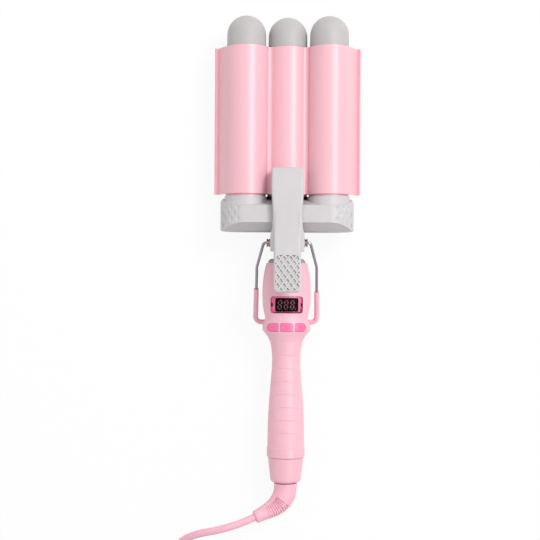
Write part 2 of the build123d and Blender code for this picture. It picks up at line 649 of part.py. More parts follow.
# ---- handle --------------------------------------------------------------------------------------
def upper_arcs(half_w, half_d, inset):
    """Front half of an oval: a crown arc between two tighter side arcs. Equal halves give a circle."""
    turn = radians(OVAL_TURN)
    t = tan(turn / 2)
    side_r = (half_d - half_w * t) / (1 - t)
    side_x = half_w - side_r
    crown_r = half_d + side_x / tan(turn) - inset
    side_r -= inset
    a, b = half_w - inset, half_d - inset
    x, z = crown_r * sin(turn), b - crown_r * (1 - cos(turn))
    side_turn = (pi / 2 - turn) / 2
    mid_x, mid_z = side_x + side_r * cos(side_turn), side_r * sin(side_turn)
    return [
        ThreePointArc((a, 0), (mid_x, mid_z), (x, z)),
        ThreePointArc((x, z), (0, b), (-x, z)),
        ThreePointArc((-x, z), (-mid_x, mid_z), (-a, 0)),
    ]


def half_oval(half_w, half_d, inset=0.0):
    base = Line((inset - half_w, 0), (half_w - inset, 0))
    return make_face(Curve() + upper_arcs(half_w, half_d, inset) + [base])


def oval(half_w, half_d):
    half = half_oval(half_w, half_d)
    return half + mirror(half, about=Plane.XZ)


def head_form(inset=0.0):
    """Front half of the handle's head, lofted through ovals read off one smooth line."""
    line = Spline(*HEAD)
    sections = []
    for step in range(HEAD_BANDS + 1):
        y, half_w, half_d = line @ (step / HEAD_BANDS)
        sections.append(Plane.XZ.offset(-y) * Pos(0, HANDLE_Z) * half_oval(half_w, half_d, inset))
    return loft(sections, ruled=True)


def grip_half():
    """Front half of the round grip's wall."""
    outer = [(r, y) for y, r in GRIP]
    inner = [(r - WALL, y) for y, r in reversed(GRIP)]
    wall = make_face(
        Curve() + [
            Spline(*outer, tangents=[(-0.7, -5.0), (0.1, -5.0)]),
            Line(outer[-1], inner[0]),
            Spline(*inner, tangents=[(-0.1, 5.0), (0.7, 5.0)]),
            Line(inner[-1], outer[0]),
        ]
    )
    return Pos(0, 0, HANDLE_Z) * Rot(0, 180, 0) * revolve(wall, axis=Axis.Y, revolution_arc=180)


def to_rear(shape):
    """The same shape on the other side of the handle's parting plane."""
    return mirror(shape, about=Plane.XY.offset(HANDLE_Z))


def window_form(gap, low, high):
    shape = RectangleRounded(WINDOW[0] - 2 * gap, WINDOW[1] - 2 * gap, WINDOW_CORNER - gap)
    return Pos(0, WINDOW_Y, 0) * along_z(shape, low, high)


def button_shape(place, gap):
    """Plan of one key: round outer ends on the two outside ones."""
    inner = BUTTON_MIDDLE / 2 + BUTTON_WEB
    outer = BUTTON_ROW / 2
    r = BUTTON_W / 2
    if place == 0:
        shape = RectangleRounded(BUTTON_MIDDLE, BUTTON_W, 0.6)
    else:
        shape = Pos((inner + outer - r) / 2, 0) * Rectangle(outer - r - inner, BUTTON_W)
        shape += Pos(outer - r, 0) * Circle(r)
        shape = Rot(0, 0, 180) * shape if place < 0 else shape
    shape = Pos(0, BUTTON_Y) * shape
    return offset(shape, amount=-gap) if gap else shape


def with_posts(head, grip, radius):
    """Add screw posts that end inside the wall they stand on."""
    inside = head_form(0.8)
    for x, y in HEAD_SCREWS:
        head += rod_z(radius, HANDLE_Z, 50, x, y) & inside
    for x, y in GRIP_SCREWS:
        grip += rod_z(radius, HANDLE_Z, HANDLE_Z + grip_radius(y) - 1.0, x, y)
    return head, grip


def board_rest(y):
    """A rib across the grip for the power board to lie on."""
    disc = along_y(Pos(0, HANDLE_Z) * Circle(grip_radius(y) - 1.0), y - 0.8, y + 0.8)
    return disc & box((-20, 20), (y - 1, y + 1), (HANDLE_Z + HANDLE_Z - POWER_BOARD_Z[0], 50))


def groove(y):
    """A finger groove across the grip: deepest on its crown at y, it fades out down both sides."""
    r = grip_radius(y)
    tilt = radians(GROOVE_TILT)
    ring_r = GROOVE_SPREAD * r * cos(tilt)
    crown_z = HANDLE_Z + r + GROOVE_R - GROOVE_DEPTH
    ring = Rot(90 - GROOVE_TILT, 0, 0) * Torus(ring_r, GROOVE_R)
    ring = Pos(0, y - ring_r * sin(tilt), crown_z - ring_r * cos(tilt)) * ring
    return ring & box((-20, 20), (y - 20, y + 5), (HANDLE_Z + 0.4 * r, 50))


def handle_front_shell(form, hollow):
    head, grip = with_posts(form - hollow, grip_half(), 2.7)
    inside = head_form(0.8)
    for x, y in BOARD_SCREWS:
        head += rod_z(1.9, BOARD_Z[1], 50, x, y) & inside
    head -= window_form(0, 25, 60)
    for place in (-1, 0, 1):
        head -= along_z(button_shape(place, 0), 25, 60)
    for step in range(GROOVES):
        grip -= groove(GROOVE_FIRST_Y - step * GROOVE_STEP)
    shell = head + grip
    for x, y in HEAD_SCREWS + GRIP_SCREWS:
        shell -= rod_z(1.3, HANDLE_Z - 1, 28.5, x, y)
    for x, y in BOARD_SCREWS:
        shell -= rod_z(0.85, BOARD_Z[1] - 1, 29.5, x, y)
    return shell


def grip_radius(y):
    """Radius of the round grip at y."""
    for (y0, r0), (y1, r1) in zip(GRIP, GRIP[1:]):
        if y1 <= y <= y0:
            return r0 + (r1 - r0) * (y - y0) / (y1 - y0)
    return GRIP[-1][1]


def handle_rear_shell(form, hollow):
    head, grip = with_posts(form - hollow, grip_half(), 3.3)
    for y in BOARD_REST_Y:
        grip += board_rest(y)
    shell = to_rear(head + grip)
    for x, y in HEAD_SCREWS + GRIP_SCREWS:
        shell -= rod_z(2.5, -2, 13.0, x, y)
        shell -= rod_z(1.35, 12, 25, x, y)
    return shell


def handle_screws():
    return [screw_z(x, y, 11.2, 13.0, 28.0, 2.3, 1.2) for x, y in HEAD_SCREWS + GRIP_SCREWS]


def handle_collar():
    """Grey collar that closes the handle round the neck."""
    top = HANDLE_TOP_Y + 3.4
    rim = along_y(Pos(0, HANDLE_Z) * oval(14.9, 12.8), HANDLE_TOP_Y, top)
    rim = fillet(rim.edges().filter_by_position(Axis.Y, top - 0.01, top + 0.01), 3.0)
    plug = along_y(Pos(0, HANDLE_Z) * oval(13.8, 11.5), HANDLE_TOP_Y - 4.0, HANDLE_TOP_Y)
    return rim + plug - box((-9.35, 9.35), (-20, 0), (12.55, 30.45))


def grip_ring():
    """Trim ring over the joint between the handle shells and the end cap."""
    low, high = RING_Y
    return Pos(0, 0, HANDLE_Z) * turned(
        Polyline((12.25, low), (RING_R - 0.6, low), (RING_R, low + 0.8), (RING_R, high - 0.6),
                 (RING_R - 0.45, high), (12.4, high), (12.4, high + 4.0), (10.6, high + 4.0),
                 (10.6, low + 2.0), (12.25, low + 2.0), (12.25, low))
    )


def end_cap():
    """Tapered cup that closes the handle and carries the cord's swivel."""
    low, high = END_CAP_Y
    wall = 2.2
    r = 2.5
    k = r * (1 - 1 / sqrt(2))
    return Pos(0, 0, HANDLE_Z) * turned(
        Polyline((7.0, low), (12.2 - r, low)),
        ThreePointArc((12.2 - r, low), (12.2 - k, low + k), (12.28, low + r)),
        Polyline((12.28, low + r), (14.2, high), (12.15, high), (12.15, high + 2.3),
                 (12.7 - wall, high + 2.3), (12.7 - wall, low + 4.5), (9.6, low + 3.0), (7.0, low + 3.0),
                 (7.0, low)),
    )


def swivel_socket():
    """Slippery bearing ring in the end cap that the cord's boot turns in."""
    low = END_CAP_Y[0]
    return Pos(0, 0, HANDLE_Z) * turned(
        Polyline((SOCKET_R, low), (6.97, low), (6.97, low + 3.02), (9.2, low + 3.02), (9.2, low + 4.8),
                 (SOCKET_R, low + 4.8), (SOCKET_R, low))
    )


# ---- display and buttons -------------------------------------------------------------------------
BOARD_SCREWS = [(-11.0, -35.2), (11.0, -35.2), (-11.0, -55.6), (11.0, -55.6)]
LENS_T = 1.5


def display_lens(form, under_lens):
    """Clear pink window that follows the handle's curve."""
    return (window_form(0.08, 30, 60) & form) - under_lens


def display_frame(under_lens):
    """Hot-pink surround under the window, with the display's opening and two side notches."""
    frame = window_form(0.08, 29.0, 60) & under_lens
    opening = RectangleRounded(LCD[0] + 0.2, LCD[1] + 0.2, LCD_CORNER + 0.1)
    frame -= Pos(0, WINDOW_Y, 0) * along_z(opening, 25, 45)
    for sign in (-1, 1):
        frame -= Pos(sign * (WINDOW[0] / 2 - 0.85), WINDOW_Y, 35) * Box(1.7, 2.8, 20)
    return frame


def display_module():
    """Three-digit display block on the control board, with a dark skirt that shows in the notches."""
    block = along_z(RectangleRounded(*LCD, LCD_CORNER), BOARD_Z[1], 32.9)
    return Pos(0, WINDOW_Y, 0) * (block + along_z(Rectangle(*LCD_SKIRT), BOARD_Z[1], 28.8))


def switch_x(place):
    return place * (BUTTON_MIDDLE / 2 + BUTTON_WEB + 4.0)


def button(place, form, hollow):
    """A key whose top follows the handle, with a flange behind the shell and a stem for its switch."""
    cap = along_z(button_shape(place, BUTTON_GAP), 30.6, 60) & (Pos(0, 0, BUTTON_PROUD) * form)
    flange = along_z(button_shape(place, -BUTTON_FLANGE), 29.5, 60) & (Pos(0, 0, -0.1) * hollow)
    cap += flange - Pos(0, 0, -1.0) * hollow
    x = switch_x(place)
    stem_z = BOARD_Z[1] + SWITCH_H + BUTTON_TRAVEL + 0.05
    return cap + rod_z(1.5, stem_z, 31.0, x, BUTTON_Y)


def control_board():
    board = box((-13.0, 13.0), (-66.0, -32.5), BOARD_Z)
    for x, y in BOARD_SCREWS:
        board -= rod_z(1.0, 20, 30, x, y)
    return board


def tact_switches():
    """Three push switches on the board, one under each key."""
    switches = []
    for place in (-1, 0, 1):
        x = switch_x(place)
        body = Pos(x, BUTTON_Y, BOARD_Z[1] + 1.75) * Box(6.0, 6.0, 3.5)
        switches.append(body + rod_z(1.6, BOARD_Z[1] + 3.5, BOARD_Z[1] + SWITCH_H, x, BUTTON_Y))
    return switches


def board_screws():
    return [screw_z(x, y, BOARD_Z[0] - 1.2, BOARD_Z[0], 29.0, 1.7, 0.8) for x, y in BOARD_SCREWS]


def power_board():
    """Mains board in the grip: relay, capacitor, fuse and choke on one side."""
    top = POWER_BOARD_Z[1]
    board = box((-8.0, 8.0), (-146.0, -88.0), POWER_BOARD_Z)
    board += Pos(0, -97, top + 3.0) * Box(9.0, 12.0, 6.0)
    board += rod_z(3.2, top, top + 6.2, 0, -112)
    board += Pos(0, -123, top + 2.0) * Box(6.0, 8.0, 4.0)
    board += Pos(0, -137, top + 3.5) * Box(10.0, 10.0, 7.0)
    return board


# ---- cord and plug -------------------------------------------------------------------------------
def boot_slot(line, at, whole):
    """One flexing slot over the top of the bent boot, parted in two by a rib unless it is a whole one."""
    centre, tangent = line @ at, line % at
    radius = BOOT[0][3] + (BOOT[-1][3] - BOOT[0][3]) * at**1.5
    reach = [(3 * radius * cos(radians(a)), 3 * radius * sin(radians(a))) for a in BOOT_SLOT_SPAN]
    slot = Circle(radius + 3) - Circle(radius - BOOT_SLOT_DEPTH)
    slot &= make_face(Polyline((0, 0), *reach, (0, 0)))
    if not whole:
        slot -= Rot(0, 0, BOOT_RIB_AT) * Pos(radius, 0) * Rectangle(10, BOOT_RIB_W)
    place = Plane(origin=centre, x_dir=Vector(0, 0, 1).cross(tangent), z_dir=tangent)
    return extrude(place.offset(-BOOT_SLOT_W / 2) * slot, amount=BOOT_SLOT_W)


def swivel_boot():
    """Bent strain relief: a spigot that turns in the handle's end, then an elbow that tapers to the cord."""
    points = [Vector(x, y, z) for x, y, z, _ in BOOT]
    out = (Vector(*CORD_ROUTE[1]) - points[-1]).normalized()
    line = Spline(*points, tangents=[(0, -1, 0), out])
    sections = []
    for point, (_, _, _, radius) in zip(points, BOOT):
        tangent = line.tangent_at(line.param_at_point(point))
        across = Vector(0, 0, 1).cross(tangent)
        sections.append(Plane(origin=point, x_dir=across, z_dir=tangent) * Circle(radius))
    elbow = loft(sections)
    elbow = fillet(elbow.edges().filter_by(lambda edge: edge.center().X < points[-1].X + 1), BOOT_END_R)
    first, last = BOOT_SLOT_RANGE
    for slot in range(BOOT_SLOTS):
        elbow -= boot_slot(line, first + (last - first) * slot / (BOOT_SLOTS - 1), slot % 4 == 2)
    top = BOOT_TOP_Y
    spigot = Pos(0, 0, HANDLE_Z) * turned(
        Polyline((0, top - 0.5), (SPIGOT_R, top - 0.5), (SPIGOT_R, -181.6), (5.2, -181.6), (5.2, -180.3),
                 (SPIGOT_R, -180.3), (SPIGOT_R - 0.6, -178.6), (0, -178.6), (0, top - 0.5))
    )
    return elbow + spigot


def swivel_clip():
    """Snap ring in the spigot's groove that keeps the boot in its socket."""
    ring = along_y(Circle(8.0) - Circle(5.25), -181.5, -180.4)
    return Pos(0, 0, HANDLE_Z) * (ring - box((-3.0, 3.0), (-190, -170), (0, 20)))


def corner_radii(points):
    """As large an arc at each corner as its two runs allow."""
    radii = []
    for before, here, after in zip(points, points[1:], points[2:]):
        run_in, run_out = Vector(*here) - Vector(*before), Vector(*after) - Vector(*here)
        turn = radians(run_in.get_angle(run_out))
        radii.append(0.45 * min(run_in.length, run_out.length) / tan(turn / 2))
    return radii


def cord_tube(points):
    radii = corner_radii(points)
    path = FilletPolyline(*points, radius=radii)
    tube = sweep(Plane(origin=path @ 0, z_dir=path % 0) * Circle(CORD_R), path=path)
    ideal = pi * CORD_R**2 * path.length
    print("cord radii", [round(r) for r in radii], "length", round(path.length, 1),
          "volume", round(tube.volume / ideal, 4))
    return tube


def cord_coil():
    """The outer shape of the coil: turns side by side and in layers, a cord's thickness apart."""
    half = COIL_TURNS_WIDE * CORD_R
    ring = Circle(COIL_R + half) - Circle(COIL_R - half)
    coil = along_z(ring, 0, COIL_LAYERS * 2 * CORD_R)
    return Pos(COIL_AT[0], COIL_AT[1], 0) * fillet(coil.edges(), 2.9)


def plug_body():
    """Flat two-pin plug with a ribbed strain relief."""
    x0, half_t = PLUG_X, 6.85
    body = make_face(
        Curve() + [
            Line((x0 + 14, -6.0), (x0 + 14, 6.0)),
            ThreePointArc((x0 + 14, 6.0), (x0 + 21, 11.0), (x0 + 27, 15.6)),
            Polyline((x0 + 27, 15.6), (x0 + 36, 17.6), (x0 + 36, -17.6), (x0 + 27, -15.6)),
            ThreePointArc((x0 + 27, -15.6), (x0 + 21, -11.0), (x0 + 14, -6.0)),
        ]
    )
    shell = along_z(body, -half_t, half_t)
    relief = revolve(
        make_face(Polyline((x0, 0), (x0, 3.9), (x0 + 14.5, 5.4), (x0 + 14.5, 0), (x0, 0))), axis=Axis.X
    )
    return Pos(0, PLUG_Y, PLUG_Z) * (shell + relief)


def plug_pins():
    face_x = PLUG_X + 36
    pins = []
    for sign in (-1, 1):
        pin = along_x(Circle(PIN_R), face_x, face_x + PIN_LEN)
        pin = Pos(0, PLUG_Y + sign * PIN_SPACING / 2, PLUG_Z) * pin
        pins.append(pin)
    return pins


# ---- build ---------------------------------------------------------------------------------------
def solids_of(shape):
    if isinstance(shape, (list, tuple)):
        return Compound(children=[solid for item in shape for solid in item.solids()])
    return shape


def build():
    nodes = {}
    for side in BARRELS:
        nodes[f"barrel_{side}"] = barrel(side)
        nodes[f"tip_cap_{side}"] = tip_cap(side)
        nodes[f"barrel_collar_{side}"] = barrel_collar(side)
        nodes[f"heat_shoes_{side}"] = heat_shoes(side)
        nodes[f"heater_{side}"] = heater(side)
    nodes["temperature_sensor"] = temperature_sensor()
    nodes["thermal_fuse"] = thermal_fuse()
    shell = base_shell()
    nodes["base_front_cover"] = base_front_cover(shell)
    nodes["base_rear_cover"] = base_rear_cover(shell)
    nodes["base_screws"] = base_screws()
    nodes["neck_frame"] = neck_frame()
    nodes["wire_bundle"] = wire_bundle()
    nodes["clamp_plate"] = clamp_plate()
    nodes["plate_bracket"] = plate_bracket()
    nodes["clamp_arm"] = clamp_arm()
    nodes["arm_screws"] = arm_screws()
    nodes["clamp_spring"] = clamp_spring()
    nodes["pivot_bushing_left"] = pivot_bushing(-1)
    nodes["pivot_bushing_right"] = pivot_bushing(1)
    nodes["stand_wire"] = stand_wire()
    nodes["stand_sleeve"] = stand_sleeve()
    form, under_lens, hollow = head_form(), head_form(LENS_T), head_form(WALL)
    nodes["handle_front_shell"] = handle_front_shell(form, hollow)
    nodes["handle_rear_shell"] = handle_rear_shell(form, hollow)
    nodes["handle_screws"] = handle_screws()
    nodes["handle_collar"] = handle_collar()
    nodes["grip_ring"] = grip_ring()
    nodes["end_cap"] = end_cap()
    nodes["swivel_socket"] = swivel_socket()
    nodes["display_lens"] = display_lens(form, under_lens)
    nodes["display_frame"] = display_frame(under_lens)
    nodes["display_module"] = display_module()
    nodes["button_minus"] = button(-1, form, hollow)
    nodes["button_power"] = button(0, form, hollow)
    nodes["button_plus"] = button(1, form, hollow)
    nodes["control_board"] = control_board()
    nodes["tact_switches"] = tact_switches()
    nodes["board_screws"] = board_screws()
    nodes["power_board"] = power_board()
    nodes["swivel_boot"] = swivel_boot()
    nodes["swivel_clip"] = swivel_clip()
    nodes["cord"] = cord_tube(CORD_ROUTE)
    nodes["cord_coil"] = cord_coil()
    nodes["cord_tail"] = cord_tube(TAIL_ROUTE)
    nodes["plug_body"] = plug_body()
    nodes["plug_pins"] = plug_pins()
    return nodes


os.makedirs("parts", exist_ok=True)
for name, shape in build().items():
    export_step(solids_of(shape), f"parts/{name}.step")
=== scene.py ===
"""Dresses a three-barrel hair waver: finishes, display marks, key symbols, cord and a studio."""

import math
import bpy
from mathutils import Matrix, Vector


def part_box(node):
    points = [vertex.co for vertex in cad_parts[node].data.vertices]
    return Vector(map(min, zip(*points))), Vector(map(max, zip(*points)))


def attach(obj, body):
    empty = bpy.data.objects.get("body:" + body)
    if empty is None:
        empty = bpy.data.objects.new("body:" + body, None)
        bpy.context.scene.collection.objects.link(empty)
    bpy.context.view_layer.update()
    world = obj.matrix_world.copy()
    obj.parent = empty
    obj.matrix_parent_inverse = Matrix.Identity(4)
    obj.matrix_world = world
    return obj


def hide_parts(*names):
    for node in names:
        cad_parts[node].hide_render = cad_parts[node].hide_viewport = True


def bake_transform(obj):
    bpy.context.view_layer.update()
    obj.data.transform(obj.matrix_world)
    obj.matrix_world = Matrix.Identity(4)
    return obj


bl_info = {
    "name": "Hair Waver",
    "version": (1, 0, 0),
    "blender": (4, 5, 0),
    "location": "View3D > Sidebar > Waver",
    "description": "Finishes, fine pieces, cord and studio for a three-barrel hair waver",
    "category": "Object",
}

import bmesh
import bpy
from bpy.props import FloatProperty, FloatVectorProperty, IntProperty, PointerProperty
from mathutils import Vector
from mathutils.bvhtree import BVHTree

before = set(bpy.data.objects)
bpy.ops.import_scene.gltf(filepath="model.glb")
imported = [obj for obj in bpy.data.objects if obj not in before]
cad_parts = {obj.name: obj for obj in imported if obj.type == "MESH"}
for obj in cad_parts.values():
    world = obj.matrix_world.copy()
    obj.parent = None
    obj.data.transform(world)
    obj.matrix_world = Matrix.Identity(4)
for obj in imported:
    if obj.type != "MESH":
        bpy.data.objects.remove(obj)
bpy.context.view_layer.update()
MM = 0.001
SIDES = ("left", "middle", "right")
KEYS = ("button_minus", "button_power", "button_plus")
PRINT_RISE = 0.04 * MM                       # height of the marks on the display's module
DIGIT_HALF_HEIGHT = 3.4 * MM                 # from a digit's middle stroke to its lowest one
SYMBOL_ARM = 1.2 * MM                        # half the length of a key symbol's bar
SYMBOL_HALF = 0.17 * MM                      # half the width of a key symbol's bar

# points that the cord's line follows: from the boot to the coil, and from the coil to the plug
CORD_ROUTE = [
    (-0.0245, -0.2138, 0.0292), (-0.0365, -0.2186, 0.0326), (-0.0540, -0.2236, 0.0330),
    (-0.0705, -0.2276, 0.0272), (-0.0845, -0.2355, 0.0180), (-0.0925, -0.2500, 0.0086),
    (-0.0942, -0.2690, 0.0038), (-0.0933, -0.2850, 0.0031),
]
TAIL_ROUTE = [
    (-0.0380, -0.3364, 0.0090), (-0.0230, -0.3362, 0.0089), (-0.0090, -0.3334, 0.0080),
    (0.0040, -0.3298, 0.0071),
]
COIL_CENTRE = (-0.0480, -0.2920)             # x and y of the put-away coil
TIE_ANGLE = math.radians(60)                 # where on the coil its tie sits


def linear(colour):
    """A colour written as on a screen, turned into scene light."""
    light = [c / 12.92 if c <= 0.04045 else ((c + 0.055) / 1.055) ** 2.4 for c in colour[:3]]
    return (*light, 1.0)


def shade(colour, factor):
    """The same colour made lighter or darker."""
    return tuple(min(1.0, c * factor) for c in colour[:3])


def colour_property(name, description, default):
    return FloatVectorProperty(
        name=name, description=description, default=default,
        subtype="COLOR_GAMMA", size=3, min=0.0, max=1.0,
    )


# ---- sizes and colours a user may change ---------------------------------------------------------
class WaverFinish(bpy.types.PropertyGroup):
    """Colours of the waver's surfaces."""

    coat: colour_property(
        "Heat coat", "Ceramic coat of the plate and barrels", (0.962, 0.738, 0.777)
    )
    handle: colour_property("Handle", "Satin plastic of the handle", (0.972, 0.746, 0.80))
    accent: colour_property("Accent", "Keys and display surround", (0.985, 0.46, 0.665))
    pearl: colour_property("Pearl", "Base beam, collars and arm", (0.81, 0.796, 0.80))
    tips: colour_property("Tips", "Heat-proof tip caps", (0.75, 0.735, 0.735))
    rubber: colour_property("Rubber", "Boot, cord, plug and stand sleeve", (0.985, 0.74, 0.81))
    grain: FloatProperty(
        name="Grain", description="Size of the moulded grain",
        default=0.35 * MM, min=0.05 * MM, unit="LENGTH",
    )


class WaverCord(bpy.types.PropertyGroup):
    """The cord's make and how its spare length is put away."""

    diameter: FloatProperty(
        name="Diameter", description="Outside of the sheath",
        default=6.0 * MM, min=1.0 * MM, unit="LENGTH",
    )
    length: FloatProperty(
        name="Length", description="From the boot to the plug",
        default=1.76, min=0.5, unit="LENGTH",
    )
    coil_inner: FloatProperty(
        name="Inner turn", description="Radius of the coil's inner turns",
        default=24.6 * MM, unit="LENGTH",
    )
    coil_outer: FloatProperty(
        name="Outer turn", description="Radius of the coil's outer turns",
        default=45.4 * MM, unit="LENGTH",
    )
    turns: IntProperty(
        name="Turns", description="Whole turns in the coil's two layers", default=7, min=3
    )
    steps: IntProperty(
        name="Steps", description="Route points in each turn of the coil", default=24, min=12
    )


class WaverStage(bpy.types.PropertyGroup):
    """Camera and lamps."""

    scale: FloatProperty(
        name="Picture width", description="Width in view at the tool's middle height",
        default=0.432, unit="LENGTH",
    )
    distance: FloatProperty(
        name="Camera height", description="From the tool's middle height",
        default=0.90, unit="LENGTH",
    )
    turn: FloatProperty(
        name="Turn", description="Turn of the picture about the view axis",
        default=math.radians(0.34), unit="ROTATION",
    )
    ambient: FloatProperty(
        name="Ambient", description="Light from all round", default=0.64, min=0.0
    )
    key: FloatProperty(
        name="Key lamp", description="Soft lamp at the upper right, in watts",
        default=16.0, min=0.0,
    )
    top: FloatProperty(
        name="Top lamp", description="Broad lamp overhead, in watts", default=6.0, min=0.0
    )
    gleam: FloatProperty(
        name="Gleam", description="Strip lamp that only shows in reflections, in watts",
        default=29.0, min=0.0,
    )


# ---- material makers -----------------------------------------------------------------------------
class Finish:
    """A material with a Principled shader and helpers that add to it."""

    def __init__(self, name, colour, roughness, metallic=0.0, coat=0.0, specular=0.5):
        self.material = bpy.data.materials.new(name)
        self.material.use_nodes = True
        self.tree = self.material.node_tree
        self.shader = next(n for n in self.tree.nodes if n.type == "BSDF_PRINCIPLED")
        self.colour = linear(colour)
        self.set("Base Color", self.colour)
        self.set("Roughness", roughness)
        self.set("Metallic", metallic)
        self.set("Specular IOR Level", specular)
        self.set("Coat Weight", coat)
        self.set("Coat Roughness", 0.12)
        self.material.diffuse_color = self.colour
        self.place = self.add("ShaderNodeTexCoord").outputs["Object"]

    def add(self, kind, **values):
        node = self.tree.nodes.new(kind)
        for key, value in values.items():
            setattr(node, key, value)
        return node

    def link(self, source, target):
        self.tree.links.new(source, target)

    def set(self, socket, value):
        self.shader.inputs[socket].default_value = value

    def noise(self, size, stretch=(1, 1, 1), detail=3.0):
        """Noise whose features are about size across, times the stretch along each axis."""
        mapping = self.add("ShaderNodeMapping")
        mapping.inputs["Scale"].default_value = tuple(1.0 / (size * s) for s in stretch)
        self.link(self.place, mapping.inputs["Vector"])
        noise = self.add("ShaderNodeTexNoise")
        noise.inputs["Scale"].default_value = 1.0
        noise.inputs["Detail"].default_value = detail
        self.link(mapping.outputs["Vector"], noise.inputs["Vector"])
        return noise.outputs["Fac"]

    def spread(self, value, low, high):
        """A noise value, which seldom leaves 0.3 to 0.7, spread from low to high."""
        ramp = self.add("ShaderNodeMapRange")
        ramp.inputs["From Min"].default_value = 0.3
        ramp.inputs["From Max"].default_value = 0.7
        ramp.inputs["To Min"].default_value = low
        ramp.inputs["To Max"].default_value = high
        self.link(value, ramp.inputs["Value"])
        return ramp.outputs["Result"]

    def drift(self, other, size, stretch=(1, 1, 1), amount=0.5):
        """Lets the colour drift towards another in soft patches."""
        mix = self.add("ShaderNodeMix", data_type="RGBA")
        self.link(self.spread(self.noise(size, stretch), 0.0, amount), mix.inputs["Factor"])
        source = self.shader.inputs["Base Color"]
        if source.is_linked:
            self.link(source.links[0].from_socket, mix.inputs["A"])
        else:
            mix.inputs["A"].default_value = self.colour
        mix.inputs["B"].default_value = linear(other)
        self.link(mix.outputs["Result"], source)

    def uneven(self, size, low, high, stretch=(1, 1, 1)):
        """Roughness that varies over the surface."""
        value = self.spread(self.noise(size, stretch), low, high)
        self.link(value, self.shader.inputs["Roughness"])

    def bump(self, height, depth):
        """Fine relief that only the shading shows."""
        node = self.add("ShaderNodeBump")
        node.inputs["Strength"].default_value = 1.0
        node.inputs["Distance"].default_value = depth
        self.link(height, node.inputs["Height"])
        self.link(node.outputs["Normal"], self.shader.inputs["Normal"])


def ceramic_coat(name, colour):
    """Glossy coat over drawn metal, with faint lines along the barrels."""
    finish = Finish(name, colour, 0.38, coat=0.36)
    finish.set("Coat Roughness", 0.3)
    finish.drift(shade(colour, 0.965), 22 * MM, stretch=(1, 6, 1), amount=0.6)
    finish.uneven(1.6 * MM, 0.34, 0.44, stretch=(1, 60, 1))
    finish.bump(finish.noise(1.1 * MM, stretch=(1, 90, 1), detail=2.0), 0.006 * MM)
    return finish.material


def moulded(name, colour, roughness, grain, depth=0.012 * MM, coat=0.0):
    """Moulded plastic: fine spark-eroded grain, a slow drift of colour and uneven gloss."""
    finish = Finish(name, colour, roughness, coat=coat)
    finish.drift(shade(colour, 0.97), 9 * MM, amount=0.8)
    finish.drift(shade(colour, 0.985), grain * 2, amount=0.5)
    finish.uneven(14 * MM, roughness - 0.05, roughness + 0.06)
    finish.bump(finish.noise(grain, detail=2.0), depth)
    return finish.material


def soft_rubber(name, colour, roughness=0.5):
    """Dull rubber or sleeving with a fine, uneven skin."""
    finish = Finish(name, colour, roughness)
    finish.drift(shade(colour, 0.95), 6 * MM, amount=0.7)
    finish.uneven(3 * MM, roughness - 0.08, roughness + 0.08)
    finish.bump(finish.noise(0.5 * MM), 0.02 * MM)
    return finish.material


def metal(name, colour, roughness, stretch=(1, 1, 1)):
    """Plated or bare metal with fine wear along one way."""
    finish = Finish(name, colour, roughness, metallic=1.0)
    finish.drift(shade(colour, 0.8), 2.5 * MM, stretch=stretch, amount=0.5)
    finish.uneven(0.9 * MM, roughness - 0.06, roughness + 0.1, stretch=stretch)
    finish.bump(finish.noise(0.4 * MM, stretch=stretch), 0.006 * MM)
    return finish.material


def window(name, tint):
    """Clear tinted acrylic, a little frosted, that the digits show through."""
    finish = Finish(name, tint, 0.34)
    finish.set("Alpha", 0.035)
    finish.uneven(5 * MM, 0.3, 0.4)
    return finish.material


def circuit(name):
    """Solder mask with faint copper runs under it."""
    finish = Finish(name, (0.06, 0.27, 0.15), 0.35, coat=0.3)
    finish.drift((0.10, 0.40, 0.22), 1.2 * MM, stretch=(1, 8, 1), amount=0.8)
    finish.bump(finish.noise(0.8 * MM, stretch=(1, 6, 1)), 0.02 * MM)
    return finish.material


def backdrop():
    """A white floor that takes only a faint shadow in the camera's view."""
    glow_share = 0.9
    material = bpy.data.materials.new("backdrop_white")
    material.use_nodes = True
    tree = material.node_tree
    tree.nodes.clear()
    out = tree.nodes.new("ShaderNodeOutputMaterial")
    diffuse = tree.nodes.new("ShaderNodeBsdfDiffuse")
    diffuse.inputs["Color"].default_value = (0.95, 0.95, 0.95, 1)
    glow = tree.nodes.new("ShaderNodeEmission")
    glow.inputs["Color"].default_value = (1, 1, 1, 1)
    glow.inputs["Strength"].default_value = 1.0
    path = tree.nodes.new("ShaderNodeLightPath")
    share = tree.nodes.new("ShaderNodeMath")
    share.operation = "MULTIPLY"
    share.inputs[1].default_value = glow_share
    mix = tree.nodes.new("ShaderNodeMixShader")
    tree.links.new(path.outputs["Is Camera Ray"], share.inputs[0])
    tree.links.new(share.outputs[0], mix.inputs["Fac"])
    tree.links.new(diffuse.outputs[0], mix.inputs[1])
    tree.links.new(glow.outputs[0], mix.inputs[2])
    tree.links.new(mix.outputs[0], out.inputs["Surface"])
    return material


# ---- helpers for pieces --------------------------------------------------------------------------
def paint(material, *nodes):
    """Gives CAD nodes a finish."""
    for name in nodes:
        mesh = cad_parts[name].data
        mesh.materials.clear()
        mesh.materials.append(material)


def add_object(name, data):
    """A new object for the data, linked into the scene."""
    item = bpy.data.objects.new(name, data)
    bpy.context.scene.collection.objects.link(item)
    return item


def new_piece(name, mesh, material, body):
    """Links a finished mesh as a piece that rides on a body."""
    mesh.materials.append(material)
    piece = add_object(name, mesh)
    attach(piece, body)
    return piece


def surface_of(node):
    """A tree for dropping points on a CAD node's surface."""
    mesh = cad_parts[node].data
    corners = [v.co.copy() for v in mesh.vertices]
    return BVHTree.FromPolygons(corners, [tuple(p.vertices) for p in mesh.polygons])


